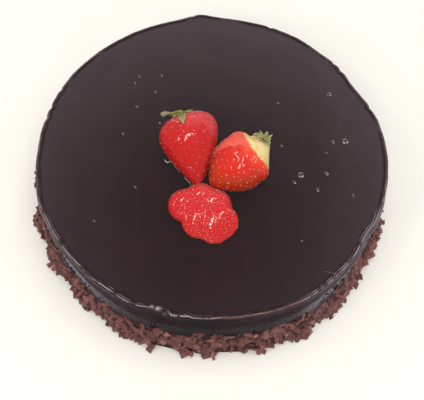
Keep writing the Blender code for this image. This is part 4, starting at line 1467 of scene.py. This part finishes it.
def lobed_berry():
    """The lobed berry: a grid of directions from its core cast on to the smooth union of its
    lobes, sunk at each seed, with its seeds and pale curls of gel painted in as glints."""
    node = "strawberry_front"
    rows = 170
    columns = 300
    x, y, height = LOBED_CORE[:3]
    middle = np.array([x, y, CAKE_HEIGHT + height + 0.002])
    pitch = -math.pi / 2.0 + math.pi * np.arange(1, rows + 1) / (rows + 1)
    grid = lobed_skin(middle, *np.meshgrid(pitch, full_turn(columns), indexing="ij"))
    normal = grid_normals(grid, middle)
    spots, normals, seeded, curled = lobed_spots(middle)
    sunk, pit = pit_depth(grid, spots[seeded], radius=0.00055, depth=0.00008)
    lumpy = 0.00003 * soft_noise(62, *np.moveaxis(grid * 330.0, -1, 0), levels=2)
    grid = grid + normal * (lumpy - sunk)[..., None]
    poles = lobed_skin(middle, np.array([-math.pi / 2.0, math.pi / 2.0]), np.zeros(2))
    low = 1.0 - smooth_step(CAKE_HEIGHT, CAKE_HEIGHT + 0.006, grid[..., 2])
    values = {
        "ripe": np.append(0.80 - 0.25 * low, [0.6, 0.8]),
        "coated": np.append(np.full(grid.shape[:2], 0.93), [1.0, 1.0]),
        "pit": np.append(pit, [0.0, 0.0]),
        "below": np.append(low, [1.0, 0.0]),
    }
    points = np.concatenate([grid.reshape(-1, 3), poles])
    material = flesh_material(
        "lobed_berry_flesh",
        ripe_stops=((0.0, (0.58, 0.050, 0.036)), (0.5, (0.58, 0.015, 0.015)), (1.0, (0.55, 0.009, 0.010))),
        blush=(0.38, 0.005, 0.006),
        bare_colour=(0.62, 0.07, 0.07),
        bare_share=0.5,
        low_colour=(0.48, 0.026, 0.010),
        grain_and_glint_colour=(0.86, 0.14, 0.12),
    )
    quads = closed_quads(rows, columns)
    fans = pole_fans(rows, columns)
    unmirrored(put_mesh("lobed_berry_flesh", points, quads, fans, material, values=values), node)
    ahead = unit(np.cross(normals[seeded], np.array([0.3, 0.9, 0.1])))
    pale = (0.78, 0.30, 0.16)
    rosy = (0.80, 0.14, 0.10)
    red = (0.72, 0.06, 0.05)
    seeds = seed_material("red_seed", ((0.0, pale), (0.6, rosy), (1.0, red)))
    places = spots[seeded]
    put_seeds("lobed_berry_seeds", places, normals[seeded], ahead, seeds, node, seed=95, size=0.00042)
    sizes = np.repeat([0.00055, 0.00030], [seeded.sum(), curled.sum()])
    places = np.concatenate([places, spots[curled]])
    outward = np.concatenate([normals[seeded], normals[curled]])
    gel_glint_curls("lobed_berry_glint_curls", places, outward, sizes, 96, node)


def berry_reach(berry, rays):
    """How far out a berry's skin is along rays from its middle, in its own frame."""
    return cast_to_skin(lambda points: berry_gap(berry, points), np.zeros(3), rays, 0.036)


def leaf_frame(berry):
    """The direction of a berry's leaf hub from its middle and two directions square to it,
    in the berry's own frame, and how far out the skin is there."""
    bearing, lean = (math.radians(angle) for angle in berry["hub"])
    sideways = math.sin(lean) * math.cos(bearing)
    upward = math.sin(lean) * math.sin(bearing)
    out = np.array([sideways, -math.cos(lean), upward])
    aside = unit(np.cross(out, np.array([0.0, 0.0, 1.0])))
    over = np.cross(aside, out)
    return out, aside, over, float(berry_reach(berry, out[None])[0])


def leaf_points(berry, distance, turn, lift):
    """Points at a distance over the skin from the leaf hub, in a direction round it, lifted
    off the skin along the ray from the berry's middle."""
    out, aside, over, hub_reach = leaf_frame(berry)
    angle = (distance / hub_reach)[..., None]
    spread = np.cos(turn)[..., None] * aside + np.sin(turn)[..., None] * over
    rays = np.cos(angle) * out + np.sin(angle) * spread
    return rays * (berry_reach(berry, rays) + lift)[..., None]


def leaf_star(name, berry, leaves, rise, scale, breadth, material, node, seed):
    """A star of thin leaves over the berry's skin: reach by bearing is a set of pointed
    arches with small teeth, the tips lift with a power of the distance, the edges wave, and
    the upper and lower faces close at a thin edge."""
    columns = 336
    rows = 16
    turn = full_turn(columns)
    degrees = np.degrees(turn)
    reach = np.full(columns, LEAF_HUB * scale)
    lift = np.zeros(columns)
    spine = np.zeros(columns)
    for bearing, length, half_width, tip in leaves:
        away = np.abs(apart(degrees, bearing))
        share = np.clip(1.0 - away / (breadth * half_width), 0.0, 1.0)
        arch = share**0.62 * (1.0 - 0.10 * (np.sin(away * 0.9) ** 2) * (share < 0.9))
        reach = np.maximum(reach, scale * (LEAF_HUB + (length - LEAF_HUB) * arch))
        lift = np.maximum(lift, tip * share**0.7)
        spine = np.maximum(spine, bell(away / 2.2))
    share = (np.arange(1, rows + 1) / rows)[:, None]
    edge = smooth_step(0.55, 1.0, share + 0.0 * turn)
    wave = 0.00035 * soft_noise(seed, 4.0 * np.cos(turn), 4.0 * np.sin(turn), 5.0 * share) * share
    fold = -0.00030 * spine * share
    low = LEAF_GAP + rise + wave + fold + lift * share**2.2
    thick = LEAF_THICKNESS * (1.0 - 0.55 * share)
    distance = reach * share
    bearing = np.broadcast_to(turn, distance.shape)
    rest = berry_rest(berry)
    under = lay_down(berry, leaf_points(berry, distance, bearing, low), rest)
    over = lay_down(berry, leaf_points(berry, distance, bearing, low + thick), rest)
    out, aside, above, hub_reach = leaf_frame(berry)
    hub_low = hub_reach + LEAF_GAP + rise
    hub = lay_down(berry, np.stack([out * hub_low, out * (hub_low + LEAF_THICKNESS)]), rest)
    grid = np.concatenate([under, over[::-1]])
    points = np.concatenate([grid.reshape(-1, 3), hub])
    pale = np.clip(np.maximum(edge * 0.8, spine * 0.7), 0.0, 1.0)
    pale = np.broadcast_to(pale, distance.shape)
    values = {"edge": np.append(np.concatenate([pale, pale[::-1]]), [0.4, 0.4])}
    quads, fans = outward_faces(2 * rows, columns)
    unmirrored(put_mesh(name, points, quads, fans, material, values=values), node)


def left_stem(material):
    """The left berry's stem: a tube along a path that leaves the hub and bends to the left,
    its radius following a list from the hub to the dry knob, with grooves round it."""
    berry = LEFT_BERRY
    out, aside, over, hub_reach = leaf_frame(berry)
    ends = np.stack([out * (hub_reach + LEAF_GAP + 0.0004), out * (hub_reach + 0.0100)])
    hub, beyond = lay_down(berry, ends, berry_rest(berry))
    back = unit(beyond - hub)
    left = np.array([-1.0, -0.33, -0.10])
    rows = 60
    columns = 24
    share = np.linspace(0.0, 1.0, rows)[:, None]
    path = hub + back * 0.0020 * np.sin(share * math.pi / 2.0) + left * STEM_LENGTH * share**1.4
    path = path + np.array([0.0, 0.00025, 0.0003]) * np.sin(share * 9.0)
    places = np.array([0.0, 0.14, 0.3, 0.55, 0.74, 0.79, 0.82, 0.85, 0.89, 0.92, 0.97, 1.0])
    widths = np.array([1.5, 1.15, 0.95, 0.90, 0.95, 1.2, 1.5, 1.6, 1.5, 1.65, 1.6, 1.2]) * STEM_RADIUS
    radius = np.interp(share[:, 0], places, widths)
    turn = full_turn(columns)
    grooves = 0.10 * np.sin(6.0 * turn) * (0.5 + share)
    uneven = 0.08 * soft_noise(72, 2.0 * np.cos(turn), 2.0 * np.sin(turn), 9.0 * share)
    radius = radius[:, None] * (1.0 + grooves + uneven)
    ahead = unit(np.gradient(path, axis=0))
    side = unit(np.cross(ahead, np.array([0.0, 0.0, 1.0])))
    up = np.cross(side, ahead)
    across = np.cos(turn)[:, None] * side[:, None] + np.sin(turn)[:, None] * up[:, None]
    rings = path[:, None] + radius[..., None] * across
    poles = np.array([path[0] - ahead[0] * 0.0003, path[-1] + ahead[-1] * 0.0004])
    points = np.concatenate([rings.reshape(-1, 3), poles])
    dry = np.broadcast_to(smooth_step(0.62, 0.80, share), (rows, columns))
    values = {"dry": np.append(dry, [0.0, 1.0])}
    quads, fans = outward_faces(rows, columns)
    stem = put_mesh("left_berry_stem", points, quads, fans, material, values=values)
    unmirrored(stem, "strawberry_left_leaves")


# ================================ light and view ================================


def stand(thing, side, over, back, place):
    """Puts a light or a camera in the scene at a place, with its axes along these three
    directions."""
    rows = [list(part) for part in np.stack([side, over, back, place], axis=1)]
    thing.matrix_world = mathutils.Matrix([*rows, [0.0, 0.0, 0.0, 1.0]])
    bpy.context.scene.collection.objects.link(thing)


def area_light(name, direction, along, distance, size, power, colour):
    """A rectangular light in a direction from the fruit, facing it, its length laid along
    another direction."""
    light = bpy.data.lights.new(name, "AREA")
    light.shape = "RECTANGLE"
    light.size = size[0]
    light.size_y = size[1]
    light.energy = power
    light.color = colour
    thing = bpy.data.objects.new(name, light)
    towards = unit(np.array(direction))
    side = unit(np.cross(np.array(along), towards))
    fruit = np.array([0.0, -0.02, 0.075])
    stand(thing, side, np.cross(towards, side), towards, fruit + towards * distance)
    return thing


def place_camera():
    """The photograph's viewpoint: 62 degrees above the table, 0.59 m from the cake."""
    elevation = 1.083090525
    roll = 0.031189253
    aim = np.array([0.000879, -0.007252, 0.0])
    back = np.array([0.0, -math.cos(elevation), math.sin(elevation)])
    right = np.array([1.0, 0.0, 0.0])
    up = np.cross(back, right)
    side = math.cos(roll) * right + math.sin(roll) * up
    over = math.cos(roll) * up - math.sin(roll) * right
    place = aim + back * 0.591672
    data = bpy.data.cameras.new("camera")
    sensor = 36.0
    focal_pixels = 800.0
    photo_width = 424.0
    data.sensor_width = sensor
    data.lens = sensor * focal_pixels / photo_width
    data.clip_start = 0.01
    camera = bpy.data.objects.new("camera", data)
    stand(camera, side, over, back, place)
    bpy.context.scene.camera = camera


def lay_floor():
    """A plain pale table top."""
    material, shader = start_material("pale_table")
    mottle = add_mottle(material, 0.25)
    stops = ((0.3, (0.885, 0.880, 0.845)), (0.7, (0.905, 0.898, 0.865)))
    colour = colour_ramp(material, mottle.outputs["Blend"], stops)
    join(material, colour, shader.inputs["Base Color"])
    shader.inputs["Roughness"].default_value = 0.7
    mesh = bpy.data.meshes.new("floor")
    half = 6.0
    corners = [(-half, -half, 0.0), (half, -half, 0.0), (half, half, 0.0), (-half, half, 0.0)]
    mesh.from_pydata(corners, [], [(0, 1, 2, 3)])
    mesh.materials.append(material)
    floor = bpy.data.objects.new("floor", mesh)
    bpy.context.scene.collection.objects.link(floor)
    floor.visible_glossy = False


def dot_product(world, vector, direction):
    """The dot product of an output and a fixed direction."""
    node = world.node_tree.nodes.new("ShaderNodeVectorMath")
    node.operation = "DOT_PRODUCT"
    node.inputs[1].default_value = direction
    join(world, vector, node.inputs[0])
    return node.outputs["Value"]


def light_scene():
    """Soft light from above in a pale room. The flat glaze mirrors a dim part of the room
    that brightens away from its middle, and the fruit mirrors a few small lamps."""
    world = bpy.data.worlds.new("room")
    bpy.context.scene.world = world
    world.use_nodes = True
    nodes = world.node_tree.nodes
    soft = nodes["Background"]
    soft.inputs["Color"].default_value = (1.0, 0.985, 0.96, 1.0)
    soft.inputs["Strength"].default_value = 0.56
    # The mirrored room: its colour by the angle from the dim middle, brighter to the right.
    place = nodes.new("ShaderNodeTexCoord").outputs["Generated"]
    angle = work_out(world, "ARCCOSINE", dot_product(world, place, (-0.007, 0.441, 0.897)))
    share = work_out(world, "DIVIDE", angle, math.pi)
    stops = [(0.0, (0.18, 0.171, 0.18))]
    for degrees, value in ROOM_LIGHT:
        stops.append((degrees / 180.0, (value * 1.06, value * 0.95, value * 1.04)))
    stops.append((1.0, (0.034, 0.062, 0.066)))
    mirrored = nodes.new("ShaderNodeBackground")
    join(world, colour_ramp(world, share, stops), mirrored.inputs["Color"])
    strength = work_out(world, "ADD", dot_product(world, place, (0.36, 0.0, 0.0)), 1.50)
    join(world, strength, mirrored.inputs["Strength"])
    ray = nodes.new("ShaderNodeLightPath")
    mix = nodes.new("ShaderNodeMixShader")
    join(world, ray.outputs["Is Glossy Ray"], mix.inputs[0])
    join(world, soft.outputs[0], mix.inputs[1])
    join(world, mirrored.outputs[0], mix.inputs[2])
    join(world, mix.outputs[0], nodes["World Output"].inputs["Surface"])
    warm = (1.0, 0.96, 0.88)
    # Each lamp: its name, its direction, the direction its length lies in, its width and
    # length, and its power.
    lamps = (
        ("strip", (-0.13, -0.59, 0.80), (0.08, 0.20, 0.16), (0.060, 0.54), 5.6),
        ("chevron", (0.05, -0.50, 0.86), (0.6, -0.5, 0.0), (0.06, 0.16), 1.9),
        ("slip", (0.27, -0.46, 0.85), (0.5, 0.6, 0.0), (0.05, 0.13), 1.1),
        ("upper_dot", (-0.51, -0.29, 0.81), (0.0, 1.0, 0.0), (0.08, 0.08), 1.1),
        ("lower_dot", (-0.56, -0.53, 0.64), (0.8, -0.4, 0.0), (0.06, 0.12), 1.1),
    )
    for name, direction, along, size, power in lamps:
        area_light(name, direction, along, 1.7, size, power, warm)
    white = (1.0, 0.985, 0.95)
    broad = area_light("broad", (0.08, -0.02, 1.0), (0.0, 1.0, 0.0), 2.2, (1.6, 1.6), 22.0, white)
    broad.visible_glossy = False


# ================================ put together ================================

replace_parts(glazed_cake(), "cake")
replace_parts(glaze_bubbles(), "cake")
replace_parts(gel_glint_threads(), "cake")
unmirrored(chocolate_flakes(), "cake")
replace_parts(chocolate_crumbs(), "cake")

left_flesh = flesh_material(
    "red_berry_flesh",
    ripe_stops=(
        (0.10, (0.74, 0.42, 0.22)),
        (0.35, (0.60, 0.100, 0.070)),
        (0.65, (0.54, 0.016, 0.017)),
        (1.0, (0.53, 0.011, 0.009)),
    ),
    blush=(0.34, 0.006, 0.006),
    bare_colour=(0.66, 0.085, 0.095),
    bare_share=0.45,
    low_colour=(0.42, 0.009, 0.010),
    grain_and_glint_colour=(0.84, 0.15, 0.12),
)
right_flesh = flesh_material(
    "orange_berry_flesh",
    ripe_stops=(
        (0.10, (0.92, 0.76, 0.35)),
        (0.21, (0.80, 0.50, 0.14)),
        (0.36, (0.90, 0.56, 0.29)),
        (0.55, (0.86, 0.16, 0.08)),
        (0.80, (0.78, 0.060, 0.018)),
        (1.0, (0.64, 0.018, 0.009)),
    ),
    blush=(0.40, 0.020, 0.006),
    bare_colour=(0.88, 0.135, 0.095),
    bare_share=0.75,
    low_colour=(0.42, 0.030, 0.005),
    grain_and_glint_colour=(0.88, 0.17, 0.07),
)
straw_seed = seed_material(
    "straw_seed",
    ((0.0, (0.78, 0.36, 0.18)), (0.5, (0.76, 0.18, 0.12)), (1.0, (0.60, 0.07, 0.05))),
)
green_seed = seed_material(
    "yellow_green_seed",
    ((0.0, (0.62, 0.46, 0.12)), (0.6, (0.66, 0.34, 0.10)), (1.0, (0.56, 0.14, 0.05))),
)
gel_material("rosy_gel_painted_glints", (0.62, 0.050, 0.045), (0.98, 0.80, 0.70))

dress_berry(
    "left_berry",
    LEFT_BERRY,
    "strawberry_left",
    left_flesh,
    straw_seed,
    count=190,
    start_share=0.10,
    size=0.00046,
    curls=(93, 140, 420),
    marks=left_marks,
)
gel_glint_lines("left_berry_gel_glints", LEFT_BERRY, LEFT_LINES, "strawberry_left")
dress_berry(
    "right_berry",
    RIGHT_BERRY,
    "strawberry_right",
    right_flesh,
    green_seed,
    count=170,
    start_share=0.20,
    size=0.00054,
    curls=(94, 70, 190),
    marks=right_marks,
)
gel_glint_lines("right_berry_gel_glints", RIGHT_BERRY, RIGHT_LINES, "strawberry_right")
lobed_berry()

pale_leaf = leaf_material("pale_leaf", (0.090, 0.110, 0.022), (0.200, 0.210, 0.065), (0.420, 0.420, 0.200))
olive_leaf = leaf_material("olive_leaf", (0.130, 0.132, 0.016), (0.320, 0.298, 0.062), (0.490, 0.475, 0.270))
leaf_star(
    "left_berry_leaves",
    LEFT_BERRY,
    LEFT_LEAVES,
    rise=0.0,
    scale=1.0,
    breadth=1.0,
    material=pale_leaf,
    node="strawberry_left_leaves",
    seed=81,
)
left_stem(stem_material())
leaf_star(
    "right_berry_leaves",
    RIGHT_BERRY,
    RIGHT_LEAVES,
    rise=0.0,
    scale=0.88,
    breadth=1.35,
    material=olive_leaf,
    node="strawberry_right_leaves",
    seed=82,
)
# The inner leaves of the tuft: the outer ones, turned, shorter and narrower, and lifted more.
inner_leaves = []
for bearing, length, width, lift in RIGHT_LEAVES:
    inner_leaves.append(((bearing + 26.0) % 360.0, length * 0.76, width * 0.9, lift + 0.0006))
leaf_star(
    "right_berry_inner_leaves",
    RIGHT_BERRY,
    inner_leaves,
    rise=0.0008,
    scale=0.86,
    breadth=1.2,
    material=olive_leaf,
    node="strawberry_right_leaves",
    seed=83,
)

lay_floor()
light_scene()
place_camera()
bpy.context.scene.view_settings.view_transform = "Standard"
